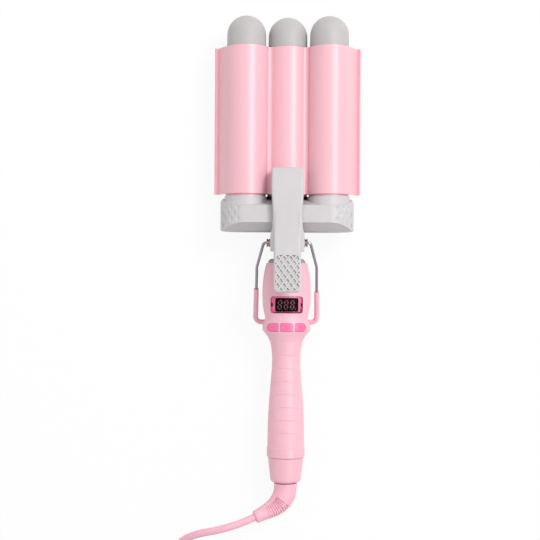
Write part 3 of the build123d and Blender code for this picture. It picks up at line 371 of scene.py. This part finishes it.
def drop(tree, x, y, lift):
    """The point at (x, y) on top of the surface, raised by lift."""
    above = 0.2
    hit = tree.ray_cast(Vector((x, y, above)), Vector((0, 0, -1)))[0]
    if hit is None:
        raise RuntimeError(f"nothing lies under {x:.4f}, {y:.4f}")
    return hit + Vector((0, 0, lift))


def wall(bm, top, low):
    """Joins two rings of corners and gives back the faces between them."""
    sides = zip(top, low, low[1:] + low[:1], top[1:] + top[:1])
    return [bm.faces.new(corners) for corners in sides]


def prism(bm, top, low):
    """A closed solid between two rings of corners; gives back the faces of its wall."""
    bm.faces.new(top)
    bm.faces.new(reversed(low))
    return wall(bm, top, low)


def closed_mesh(bm, name):
    """The finished mesh, with its faces turned outwards."""
    bmesh.ops.recalc_face_normals(bm, faces=bm.faces)
    mesh = bpy.data.meshes.new(name)
    bm.to_mesh(mesh)
    bm.free()
    return mesh


def relief(name, outlines, tree, rise, sink):
    """A thin closed relief for each plan outline, draped over a surface."""
    bm = bmesh.new()
    for outline in outlines:
        top = [bm.verts.new(drop(tree, x, y, rise)) for x, y in outline]
        low = [bm.verts.new(drop(tree, x, y, -sink)) for x, y in outline]
        prism(bm, top, low)
    return closed_mesh(bm, name)


def rounded(x, y, half_x, half_y, r, cuts=4):
    """Outline of a rectangle with round corners."""
    outline = []
    for quarter, (sx, sy) in enumerate(((1, 1), (-1, 1), (-1, -1), (1, -1))):
        corner_x, corner_y = x + sx * (half_x - r), y + sy * (half_y - r)
        for i in range(cuts + 1):
            a = math.pi / 2 * (quarter + i / cuts)
            outline.append((corner_x + r * math.cos(a), corner_y + r * math.sin(a)))
    return outline


def bar(x, y, half_x, half_y, cuts=6):
    """Outline of a straight bar, with points along its length so that it can follow a curve."""
    along = [x - half_x + 2 * half_x * i / cuts for i in range(cuts + 1)]
    return [(a, y - half_y) for a in along] + [(a, y + half_y) for a in reversed(along)]


def segment_strokes(half_w, half_h, thick, slant):
    """The seven strokes of a figure eight as thin closed plates, leaning to the right."""
    bm = bmesh.new()
    t = thick / 2
    gap = thick * 0.55                       # from a corner of the figure to a stroke's point

    def stroke(x, y, half, upright=False):
        outline = [
            (-half, 0), (t - half, -t), (half - t, -t), (half, 0), (half - t, t), (t - half, t)
        ]
        if upright:
            outline = [(-b, a) for a, b in outline]
        top, low = (
            [bm.verts.new((x + a + slant * (y + b), y + b, z)) for a, b in outline]
            for z in (PRINT_RISE, -PRINT_RISE)
        )
        prism(bm, top, low)

    for y in (-half_h, 0.0, half_h):
        stroke(0.0, y, half_w - gap)
    for x in (-half_w, half_w):
        for y in (-half_h / 2, half_h / 2):
            stroke(x, y, half_h / 2 - gap, upright=True)
    return closed_mesh(bm, "digit_eight")


def row_of_pieces(source, material):
    """Node tree that sets copies of one object in a row along X."""
    tree = bpy.data.node_groups.new("row_of_pieces", "GeometryNodeTree")
    sockets = tree.interface
    sockets.new_socket("Geometry", in_out="INPUT", socket_type="NodeSocketGeometry")
    sockets.new_socket("Count", in_out="INPUT", socket_type="NodeSocketInt")
    sockets.new_socket("Spacing", in_out="INPUT", socket_type="NodeSocketFloat")
    sockets.new_socket("Start", in_out="INPUT", socket_type="NodeSocketVector")
    sockets.new_socket("Geometry", in_out="OUTPUT", socket_type="NodeSocketGeometry")
    nodes, links = tree.nodes, tree.links
    given, out = nodes.new("NodeGroupInput"), nodes.new("NodeGroupOutput")
    line = nodes.new("GeometryNodeMeshLine")
    step = nodes.new("ShaderNodeCombineXYZ")
    info = nodes.new("GeometryNodeObjectInfo")
    info.inputs["Object"].default_value = source
    place = nodes.new("GeometryNodeInstanceOnPoints")
    real = nodes.new("GeometryNodeRealizeInstances")
    skin = nodes.new("GeometryNodeSetMaterial")
    skin.inputs["Material"].default_value = material
    links.new(given.outputs["Count"], line.inputs["Count"])
    links.new(given.outputs["Start"], line.inputs["Start Location"])
    links.new(given.outputs["Spacing"], step.inputs["X"])
    links.new(step.outputs["Vector"], line.inputs["Offset"])
    links.new(line.outputs["Mesh"], place.inputs["Points"])
    links.new(info.outputs["Geometry"], place.inputs["Instance"])
    links.new(place.outputs["Instances"], real.inputs["Geometry"])
    links.new(real.outputs["Geometry"], skin.inputs["Geometry"])
    links.new(skin.outputs["Geometry"], out.inputs["Geometry"])
    return tree


def set_input(modifier, name, value):
    """Sets a node tree's named input through its identifier."""
    sockets = modifier.node_group.interface.items_tree
    socket = next(i for i in sockets if i.name == name and i.in_out == "INPUT")
    modifier[socket.identifier] = value


def applied(holder, name):
    """The holder's evaluated result as a plain mesh piece in its place."""
    depsgraph = bpy.context.evaluated_depsgraph_get()
    mesh = bpy.data.meshes.new_from_object(holder.evaluated_get(depsgraph))
    bpy.data.objects.remove(holder)
    mesh.name = name
    return add_object(name, mesh)


# ---- operators -----------------------------------------------------------------------------------
class WAVER_OT_barrels(bpy.types.Operator):
    """Barrels, collars, tip caps and the corrugated plate"""

    bl_idname = "waver.barrels"
    bl_label = "Barrels and plate"

    def execute(self, context):
        look = context.scene.waver_finish
        coat = ceramic_coat("pink_ceramic_coat", look.coat)
        paint(coat, "clamp_plate", *[f"barrel_{side}" for side in SIDES])
        tips = moulded("tip_grey", look.tips, 0.52, look.grain)
        paint(tips, *[f"tip_cap_{side}" for side in SIDES])
        pearl = moulded("pearl_collar", look.pearl, 0.46, look.grain)
        paint(pearl, "barrel_collar_left", "barrel_collar_right")
        # painted shade: the middle collar is black for the shade and dark reflections in the
        # crevice beside the arm; the side collars are pearl
        dark = moulded("collar_painted_shade_black", (0.05, 0.05, 0.055), 0.45, look.grain)
        paint(dark, "barrel_collar_middle")
        self.valleys(coat)
        return {"FINISHED"}

    def valleys(self, coat):
        """A concave round in the plate's two valleys, tangent to the waves on both sides of it."""
        low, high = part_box("clamp_plate")
        outer = Vector((-33.0, 24.0)) * MM   # x and z of the middle of the left barrel
        inner = Vector((0.0, 17.0)) * MM     # x and z of the middle of the middle barrel
        wave_r = 18.0 * MM                   # outside of the sheet where it goes over a barrel
        round_r = 2.9 * MM
        sink = 0.04 * MM                     # how far the round dips into the sheet
        clear = 0.05 * MM                    # left free at both ends of the plate
        cuts = 14
        half = (inner - outer) / 2
        up = Vector((-half.y, half.x)).normalized()
        centre = outer + half + up * math.sqrt((wave_r + round_r) ** 2 - half.length_squared)
        start = math.atan2(outer.y - centre.y, outer.x - centre.x)
        end = math.atan2(inner.y - centre.y, inner.x - centre.x)
        arc = []
        for i in range(cuts + 1):
            a = start + (end - start) * i / cuts
            arc.append(centre + (round_r + sink) * Vector((math.cos(a), math.sin(a))))
        root = arc[cuts // 2] - Vector((0.9, 1.6)) * MM    # the section's corner inside the sheet
        bm = bmesh.new()
        for side in (-1, 1):
            section = [(-side * x, z) for x, z in arc + [root]]
            front = [bm.verts.new((x, low.y + clear, z)) for x, z in section]
            back = [bm.verts.new((x, high.y - clear, z)) for x, z in section]
            for face in prism(bm, front, back)[:cuts]:
                face.smooth = True
        for edge in bm.edges:
            edge.smooth = all(face.smooth for face in edge.link_faces)
        mesh = closed_mesh(bm, "plate_valleys")
        new_piece("plate_valleys", mesh, coat, "clamp")


class WAVER_OT_base(bpy.types.Operator):
    """Base beam, neck and clamp arm"""

    bl_idname = "waver.base"
    bl_label = "Base and arm"

    def execute(self, context):
        look = context.scene.waver_finish
        base = moulded("pearl_base", look.pearl, 0.46, look.grain)
        paint(base, "base_front_cover", "base_rear_cover")
        arm = moulded("pearl_arm", look.pearl, 0.46, look.grain * 1.3, depth=0.02 * MM)
        paint(arm, "clamp_arm")
        paint(moulded("neck_black", (0.06, 0.06, 0.065), 0.45, look.grain), "neck_frame")
        return {"FINISHED"}


class WAVER_OT_hardware(bpy.types.Operator):
    """Screws, springs, bushings, bracket and the wire stand"""

    bl_idname = "waver.hardware"
    bl_label = "Hardware and stand"

    def execute(self, context):
        look = context.scene.waver_finish
        zinc = metal("zinc_steel", (0.66, 0.66, 0.68), 0.32)
        paint(zinc, "base_screws", "arm_screws", "handle_screws", "board_screws")
        paint(zinc, "plate_bracket", "swivel_clip")
        self.spring(metal("spring_steel", (0.50, 0.50, 0.52), 0.3))
        bushing = metal("bright_nickel", (0.60, 0.55, 0.51), 0.16)
        paint(bushing, "pivot_bushing_left", "pivot_bushing_right")
        wire = metal("stand_nickel", (0.60, 0.59, 0.61), 0.18, stretch=(1, 12, 1))
        paint(wire, "stand_wire")
        paint(soft_rubber("sleeve_pink", look.rubber, 0.42), "stand_sleeve")
        return {"FINISHED"}

    def spring(self, steel):
        """The torsion spring, with a leg in the neck, a leg on the lever and a coil: the CAD spring
        copied with the steel finish, in its place.
        """
        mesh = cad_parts["clamp_spring"].data.copy()
        mesh.materials.clear()
        mesh.materials.append(steel)
        piece = add_object("torsion_spring", mesh)
        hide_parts("clamp_spring")
        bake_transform(piece)


class WAVER_OT_handle(bpy.types.Operator):
    """Handle shells, collar, ring and end cap"""

    bl_idname = "waver.handle"
    bl_label = "Handle"

    def execute(self, context):
        look = context.scene.waver_finish
        satin = moulded("handle_satin", look.handle, 0.44, look.grain)
        paint(satin, "handle_front_shell", "handle_rear_shell", "end_cap")
        paint(moulded("ring_satin", shade(look.handle, 0.99), 0.34, look.grain), "grip_ring")
        paint(moulded("collar_grey", (0.66, 0.64, 0.64), 0.45, look.grain), "handle_collar")
        return {"FINISHED"}


class WAVER_OT_inside(bpy.types.Operator):
    """Heaters, boards, wires and the swivel's bearing"""

    bl_idname = "waver.inside"
    bl_label = "Inside pieces"

    def execute(self, context):
        look = context.scene.waver_finish
        shoes = metal("bare_aluminium", (0.80, 0.80, 0.81), 0.4, stretch=(1, 40, 1))
        paint(shoes, *[f"heat_shoes_{side}" for side in SIDES])
        wrap = moulded("amber_wrap", (0.80, 0.52, 0.18), 0.3, 0.8 * MM, coat=0.4)
        paint(wrap, *[f"heater_{side}" for side in SIDES])
        sleeve = soft_rubber("glass_sleeve", (0.90, 0.88, 0.80))
        paint(sleeve, "temperature_sensor", "thermal_fuse")
        paint(soft_rubber("silicone_wires", (0.86, 0.84, 0.80)), "wire_bundle")
        paint(circuit("solder_mask"), "control_board", "power_board")
        paint(moulded("switch_black", (0.08, 0.08, 0.08), 0.4, 0.3 * MM), "tact_switches")
        socket = moulded("pink_acetal", shade(look.rubber, 0.93), 0.35, 0.3 * MM)
        paint(socket, "swivel_socket")
        return {"FINISHED"}


class WAVER_OT_display(bpy.types.Operator):
    """Display window, its surround, three unlit digits, their point, and painted shade in the
    frame's two notches
    """

    bl_idname = "waver.display"
    bl_label = "Display"

    def execute(self, context):
        look = context.scene.waver_finish
        paint(window("display_window", (0.30, 0.08, 0.14)), "display_lens")
        paint(moulded("display_pink", look.accent, 0.3, 0.3 * MM), "display_frame")
        glass = Finish("display_black", (0.02, 0.01, 0.012), 0.6, specular=0.0)
        glass.drift((0.05, 0.02, 0.03), 6 * MM, amount=0.6)
        glass.uneven(4 * MM, 0.5, 0.7)
        paint(glass.material, "display_module")
        ink = Finish("digit_unlit", (0.58, 0.40, 0.45), 0.6, specular=0.0)
        ink.drift((0.48, 0.32, 0.36), 3 * MM, amount=0.7)
        ink.uneven(2 * MM, 0.35, 0.5)
        low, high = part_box("display_module")
        middle = Vector(((low.x + high.x) / 2, (low.y + high.y) / 2, high.z))
        self.digits(ink.material, middle)
        self.point(ink.material, middle)
        # painted shade and pink light in the frame's two notches
        self.lamps()
        return {"FINISHED"}

    def digits(self, ink, middle):
        """Three slanted eights of seven strokes each, spread along a line by a node tree."""
        pitch = 4.95 * MM
        aside = 0.5 * MM                     # how far the row stands left of the module's middle
        stroke = segment_strokes(1.3 * MM, DIGIT_HALF_HEIGHT, thick=0.8 * MM, slant=0.09)
        stroke.materials.append(ink)
        seed = bpy.data.meshes.new("digit_seed")
        seed.from_pydata([(0, 0, 0)], [], [])
        holder = add_object("display_digits", seed)
        eight = add_object("digit_eight", stroke)
        modifier = holder.modifiers.new("digits", "NODES")
        modifier.node_group = row_of_pieces(eight, ink)
        set_input(modifier, "Count", 3)
        set_input(modifier, "Spacing", pitch)
        set_input(modifier, "Start", middle - Vector((pitch + aside, 0, 0)))
        piece = applied(holder, "display_digits")
        bpy.data.objects.remove(eight)
        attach(piece, "tool")

    def point(self, ink, middle):
        """The decimal point after the last digit, level with its lowest stroke."""
        beside, half, corner_r = 7.0 * MM, 0.42 * MM, 0.4 * MM
        dot = rounded(middle.x + beside, middle.y - DIGIT_HALF_HEIGHT, half, half, corner_r)
        mesh = relief("display_point", [dot], surface_of("display_module"), PRINT_RISE, PRINT_RISE)
        new_piece("display_point", mesh, ink, "tool")

    def lamps(self):
        """Dark red plates in the two notches of the frame: painted shade of the holes, with the
        pink light from the frame's plastic painted in; they are not lamps.
        """
        tree = surface_of("display_module")
        low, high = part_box("display_frame")
        inset, half_x, half_y, corner_r = 0.95 * MM, 0.65 * MM, 1.4 * MM, 0.3 * MM
        rise, sink = 3.0 * MM, 0.1 * MM
        # painted shade: each plate's dark red stands for the shade in a notch and the pink light
        # through the frame round it
        for name, x, colour in (
            ("ready_lamp", low.x + inset, (0.42, 0.12, 0.13)),
            ("heating_lamp", high.x - inset, (0.43, 0.0, 0.02)),
        ):
            lens = Finish(f"{name}_lens", colour, 0.5, specular=0.1)
            lens.drift(shade(colour, 0.7), 1.2 * MM, amount=0.8)
            lens.uneven(1 * MM, 0.4, 0.55)
            outline = rounded(x, (low.y + high.y) / 2, half_x, half_y, corner_r)
            mesh = relief(name, [outline], tree, rise, sink)
            new_piece(name, mesh, lens.material, "tool")


class WAVER_OT_keys(bpy.types.Operator):
    """The three keys and their moulded symbols"""

    bl_idname = "waver.keys"
    bl_label = "Keys"

    def execute(self, context):
        look = context.scene.waver_finish
        grain, rise, sink = 0.4 * MM, 0.05 * MM, 0.2 * MM
        paint(moulded("key_pink", look.accent, 0.34, grain), *KEYS)
        ink = moulded("key_symbol", shade(look.accent, 0.87), 0.5, grain)
        for node, symbol in zip(KEYS, (self.minus, self.power, self.plus)):
            low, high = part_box(node)
            outlines = symbol((low.x + high.x) / 2, (low.y + high.y) / 2)
            mesh = relief(f"{node}_symbol", outlines, surface_of(node), rise, sink)
            new_piece(f"{node}_symbol", mesh, ink, node)
        return {"FINISHED"}

    def minus(self, x, y):
        """One bar."""
        return [bar(x, y, SYMBOL_ARM, SYMBOL_HALF)]

    def plus(self, x, y):
        """The same bar, with a stub above it and one below."""
        offset, half_stub = (SYMBOL_ARM + SYMBOL_HALF) / 2, (SYMBOL_ARM - SYMBOL_HALF) / 2
        stubs = [bar(x, y + side * offset, SYMBOL_HALF, half_stub) for side in (-1, 1)]
        return self.minus(x, y) + stubs

    def power(self, x, y):
        """A ring that is open at the top, and a bar in its opening."""
        outer_r, inner_r = 1.45 * MM, 1.12 * MM
        bar_up, bar_half = 0.95 * MM, 0.75 * MM
        first, last, step = -235, 55, 10     # degrees
        rim = [(outer_r, turn) for turn in range(first, last + 1, step)]
        rim += [(inner_r, turn) for turn in range(last, first - 1, -step)]
        ring = [
            (x + r * math.cos(math.radians(turn)), y + r * math.sin(math.radians(turn)))
            for r, turn in rim
        ]
        return [ring, bar(x, y + bar_up, SYMBOL_HALF, bar_half)]


class WAVER_OT_cord(bpy.types.Operator):
    """The cord with its put-away coil and tie, the swivel boot and the plug"""

    bl_idname = "waver.cord"
    bl_label = "Cord and plug"

    def execute(self, context):
        look = context.scene.waver_finish
        make = context.scene.waver_cord
        rubber = soft_rubber("cord_pink", look.rubber)
        paint(soft_rubber("boot_pink", look.rubber, 0.46), "swivel_boot")
        paint(soft_rubber("plug_pink", look.rubber, 0.46), "plug_body")
        paint(metal("pin_nickel", (0.72, 0.70, 0.66), 0.22), "plug_pins")
        points = CORD_ROUTE + self.coil(make) + TAIL_ROUTE
        curve = bpy.data.curves.new("power_cord", "CURVE")
        curve.dimensions = "3D"
        curve.bevel_depth = make.diameter / 2
        curve.bevel_resolution = 6
        curve.resolution_u = 8
        curve.use_fill_caps = True
        line = curve.splines.new("NURBS")
        line.points.add(len(points) - 1)
        for point, place in zip(line.points, points):
            point.co = (*place, 1.0)
        line.order_u = 3
        line.use_endpoint_u = True
        line.use_smooth = True
        curve.materials.append(rubber)
        piece = add_object("power_cord", curve)
        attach(piece, "cord_set")
        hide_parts("cord", "cord_coil", "cord_tail")
        ends = ("plug_body", "plug_pins", "swivel_boot", "swivel_clip")
        plug = [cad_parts[name] for name in ends]
        plug + [self.tie(look)]
        return {"FINISHED"}

    def coil(self, make):
        """Turns side by side, inwards on the floor, up over one turn and outwards on top."""
        enter, leave = self.angle(CORD_ROUTE[-1]), self.angle(TAIL_ROUTE[0])
        total = make.turns + (leave - enter) / (2 * math.pi) % 1.0
        grow = 1 / math.cos(math.pi / make.steps)          # the line runs inside its points
        soft = 0.06                                        # rounds the change of direction
        r = make.diameter / 2
        points = []
        for step in range(1, int(total * make.steps)):
            turn = step / make.steps
            share = (math.hypot(2 * turn / total - 1, soft) - soft) / (math.hypot(1, soft) - soft)
            radius = grow * (make.coil_inner + (make.coil_outer - make.coil_inner) * share)
            climb = min(1.0, max(0.0, turn - total / 2 + 0.5))
            a = enter + 2 * math.pi * turn
            x = COIL_CENTRE[0] + radius * math.cos(a)
            y = COIL_CENTRE[1] + radius * math.sin(a)
            z = r + 2 * r * climb * climb * (3 - 2 * climb)
            points.append((x, y, z))
        return points

    def angle(self, point):
        """Where a point of the route stands, seen from the coil's centre."""
        return math.atan2(point[1] - COIL_CENTRE[1], point[0] - COIL_CENTRE[0])

    def tie(self, look):
        """A woven strap round the coil's turns, with its loose end pressed down on top."""
        bm = bmesh.new()
        along = Vector((math.cos(TIE_ANGLE), math.sin(TIE_ANGLE), 0))
        across = Vector((-math.sin(TIE_ANGLE), math.cos(TIE_ANGLE), 0))
        origin = Vector((*COIL_CENTRE, 0))

        def corner(r, z, t):
            return bm.verts.new(origin + along * r + across * t + Vector((0, 0, z)))

        middle, half_r, height = 33.2 * MM, 12.6 * MM, 12.9 * MM     # the loop, cut along a radius
        corner_r, lift = 4.5 * MM, 0.05 * MM
        half_w, thick, edge = 4.5 * MM, 0.8 * MM, 0.2 * MM           # the strap, cut across
        strap = (
            (-half_w, edge), (edge - half_w, 0), (half_w - edge, 0), (half_w, edge),
            (half_w, thick - edge), (half_w - edge, thick),
            (edge - half_w, thick), (-half_w, thick - edge),
        )
        loops = []
        for t, inset in strap:
            outline = rounded(
                middle, height / 2 + lift, half_r - inset, height / 2 - inset, corner_r - inset,
                cuts=6,
            )
            loops.append([corner(r, z, t) for r, z in outline])
        for loop, following in zip(loops, loops[1:] + loops[:1]):
            wall(bm, loop, following)
        rise, sink, aside = 0.65 * MM, 0.2 * MM, 1.5 * MM            # the loose end
        half_end, narrower, end_r = 6.5 * MM, 0.5 * MM, 1.5 * MM
        end = rounded(middle + aside, 0, half_end, half_w - narrower, end_r)
        top = [corner(r, height + rise, t) for r, t in end]
        low = [corner(r, height - sink, t) for r, t in end]
        prism(bm, top, low)
        weave = Finish("tie_weave", shade(look.pearl, 0.95), 0.8, specular=0.3)
        weave.set("Sheen Weight", 0.3)
        weave.drift(shade(look.pearl, 0.85), 1.5 * MM, amount=0.7)
        weave.uneven(2 * MM, 0.72, 0.88)
        weave.bump(weave.noise(0.35 * MM, detail=2.0), 0.05 * MM)
        mesh = closed_mesh(bm, "cord_tie")
        return new_piece("cord_tie", mesh, weave.material, "cord_set")


class WAVER_OT_stage(bpy.types.Operator):
    """Floor, lamps and the camera straight above the tool"""

    bl_idname = "waver.stage"
    bl_label = "Stage"

    def execute(self, context):
        stage = context.scene.waver_stage
        self.floor()
        self.world(stage)
        key = self.lamp("key_soft", stage.key, place=(0.95, 0.85, 1.5), size=(0.6, 0.6))
        key.visible_glossy = False
        self.lamp("top_soft", stage.top, place=(0.3, 0.4, 1.9), size=(1.8, 1.8))
        strip = self.lamp("gleam_strip", stage.gleam, place=(0.92, 0.4, 1.6), size=(0.55, 2.6))
        strip.visible_diffuse = False
        self.camera(stage)
        context.scene.view_settings.view_transform = "Standard"
        return {"FINISHED"}

    def floor(self):
        half = 3.0
        mesh = bpy.data.meshes.new("floor")
        corners = [(-half, -half, 0), (half, -half, 0), (half, half, 0), (-half, half, 0)]
        mesh.from_pydata(corners, [], [(0, 1, 2, 3)])
        mesh.materials.append(backdrop())
        add_object("floor", mesh)

    def world(self, stage):
        """Even light for the object, and white for what the camera, metal and glass see past it."""
        world = bpy.data.worlds.new("studio")
        bpy.context.scene.world = world
        world.use_nodes = True
        tree = world.node_tree
        background = next(n for n in tree.nodes if n.type == "BACKGROUND")
        background.inputs["Color"].default_value = (1, 1, 1, 1)
        path = tree.nodes.new("ShaderNodeLightPath")
        seen = path.outputs["Is Camera Ray"]
        for ray in ("Is Transmission Ray", "Is Glossy Ray"):
            either = tree.nodes.new("ShaderNodeMath")
            either.operation = "MAXIMUM"
            tree.links.new(seen, either.inputs[0])
            tree.links.new(path.outputs[ray], either.inputs[1])
            seen = either.outputs[0]
        strength = tree.nodes.new("ShaderNodeMapRange")
        strength.inputs["To Min"].default_value = stage.ambient
        strength.inputs["To Max"].default_value = 1.0
        tree.links.new(seen, strength.inputs["Value"])
        tree.links.new(strength.outputs["Result"], background.inputs["Strength"])

    def lamp(self, name, power, place, size):
        """A rectangular lamp that faces the origin."""
        light = bpy.data.lights.new(name, "AREA")
        light.shape = "RECTANGLE"
        light.size, light.size_y = size
        light.energy = power
        lamp = add_object(name, light)
        lamp.location = place
        x, y, z = place
        lamp.rotation_euler = (-math.asin(y / math.hypot(x, y, z)), math.atan2(x, z), 0)
        return lamp

    def camera(self, stage):
        """Looks straight down on the point (x, y), from a height over z."""
        x, y, z = -0.0134, -0.024, 0.025     # z is the tool's middle height
        data = bpy.data.cameras.new("camera")
        data.sensor_width = 36.0
        data.lens = data.sensor_width * stage.distance / stage.scale
        data.shift_y = 9 / 540               # nine pixels of the frame's 540
        camera = add_object("camera", data)
        camera.location = (x, y, z + stage.distance)
        camera.rotation_euler = (0, 0, stage.turn)
        bpy.context.scene.camera = camera


class WAVER_PT_panel(bpy.types.Panel):
    """Lists the waver's steps in the sidebar"""

    bl_idname = "WAVER_PT_panel"
    bl_label = "Hair Waver"
    bl_space_type = "VIEW_3D"
    bl_region_type = "UI"
    bl_category = "Waver"

    def draw(self, context):
        for step in STEPS:
            self.layout.operator(step.bl_idname)
        scene = context.scene
        for group in (scene.waver_finish, scene.waver_cord, scene.waver_stage):
            for name in group.__annotations__:
                self.layout.prop(group, name)


GROUPS = (WaverFinish, WaverCord, WaverStage)
STEPS = (
    WAVER_OT_barrels, WAVER_OT_base, WAVER_OT_hardware, WAVER_OT_handle, WAVER_OT_inside,
    WAVER_OT_display, WAVER_OT_keys, WAVER_OT_cord, WAVER_OT_stage,
)


def register():
    for item in GROUPS + STEPS + (WAVER_PT_panel,):
        bpy.utils.register_class(item)
    bpy.types.Scene.waver_finish = PointerProperty(type=WaverFinish)
    bpy.types.Scene.waver_cord = PointerProperty(type=WaverCord)
    bpy.types.Scene.waver_stage = PointerProperty(type=WaverStage)


def unregister():
    del bpy.types.Scene.waver_stage
    del bpy.types.Scene.waver_cord
    del bpy.types.Scene.waver_finish
    for item in reversed(GROUPS + STEPS + (WAVER_PT_panel,)):
        bpy.utils.unregister_class(item)


def main():
    register()
    bpy.ops.waver.barrels()
    bpy.ops.waver.base()
    bpy.ops.waver.hardware()
    bpy.ops.waver.handle()
    bpy.ops.waver.inside()
    bpy.ops.waver.display()
    bpy.ops.waver.keys()
    bpy.ops.waver.cord()
    bpy.ops.waver.stage()


if __name__ == "__main__":
    main()
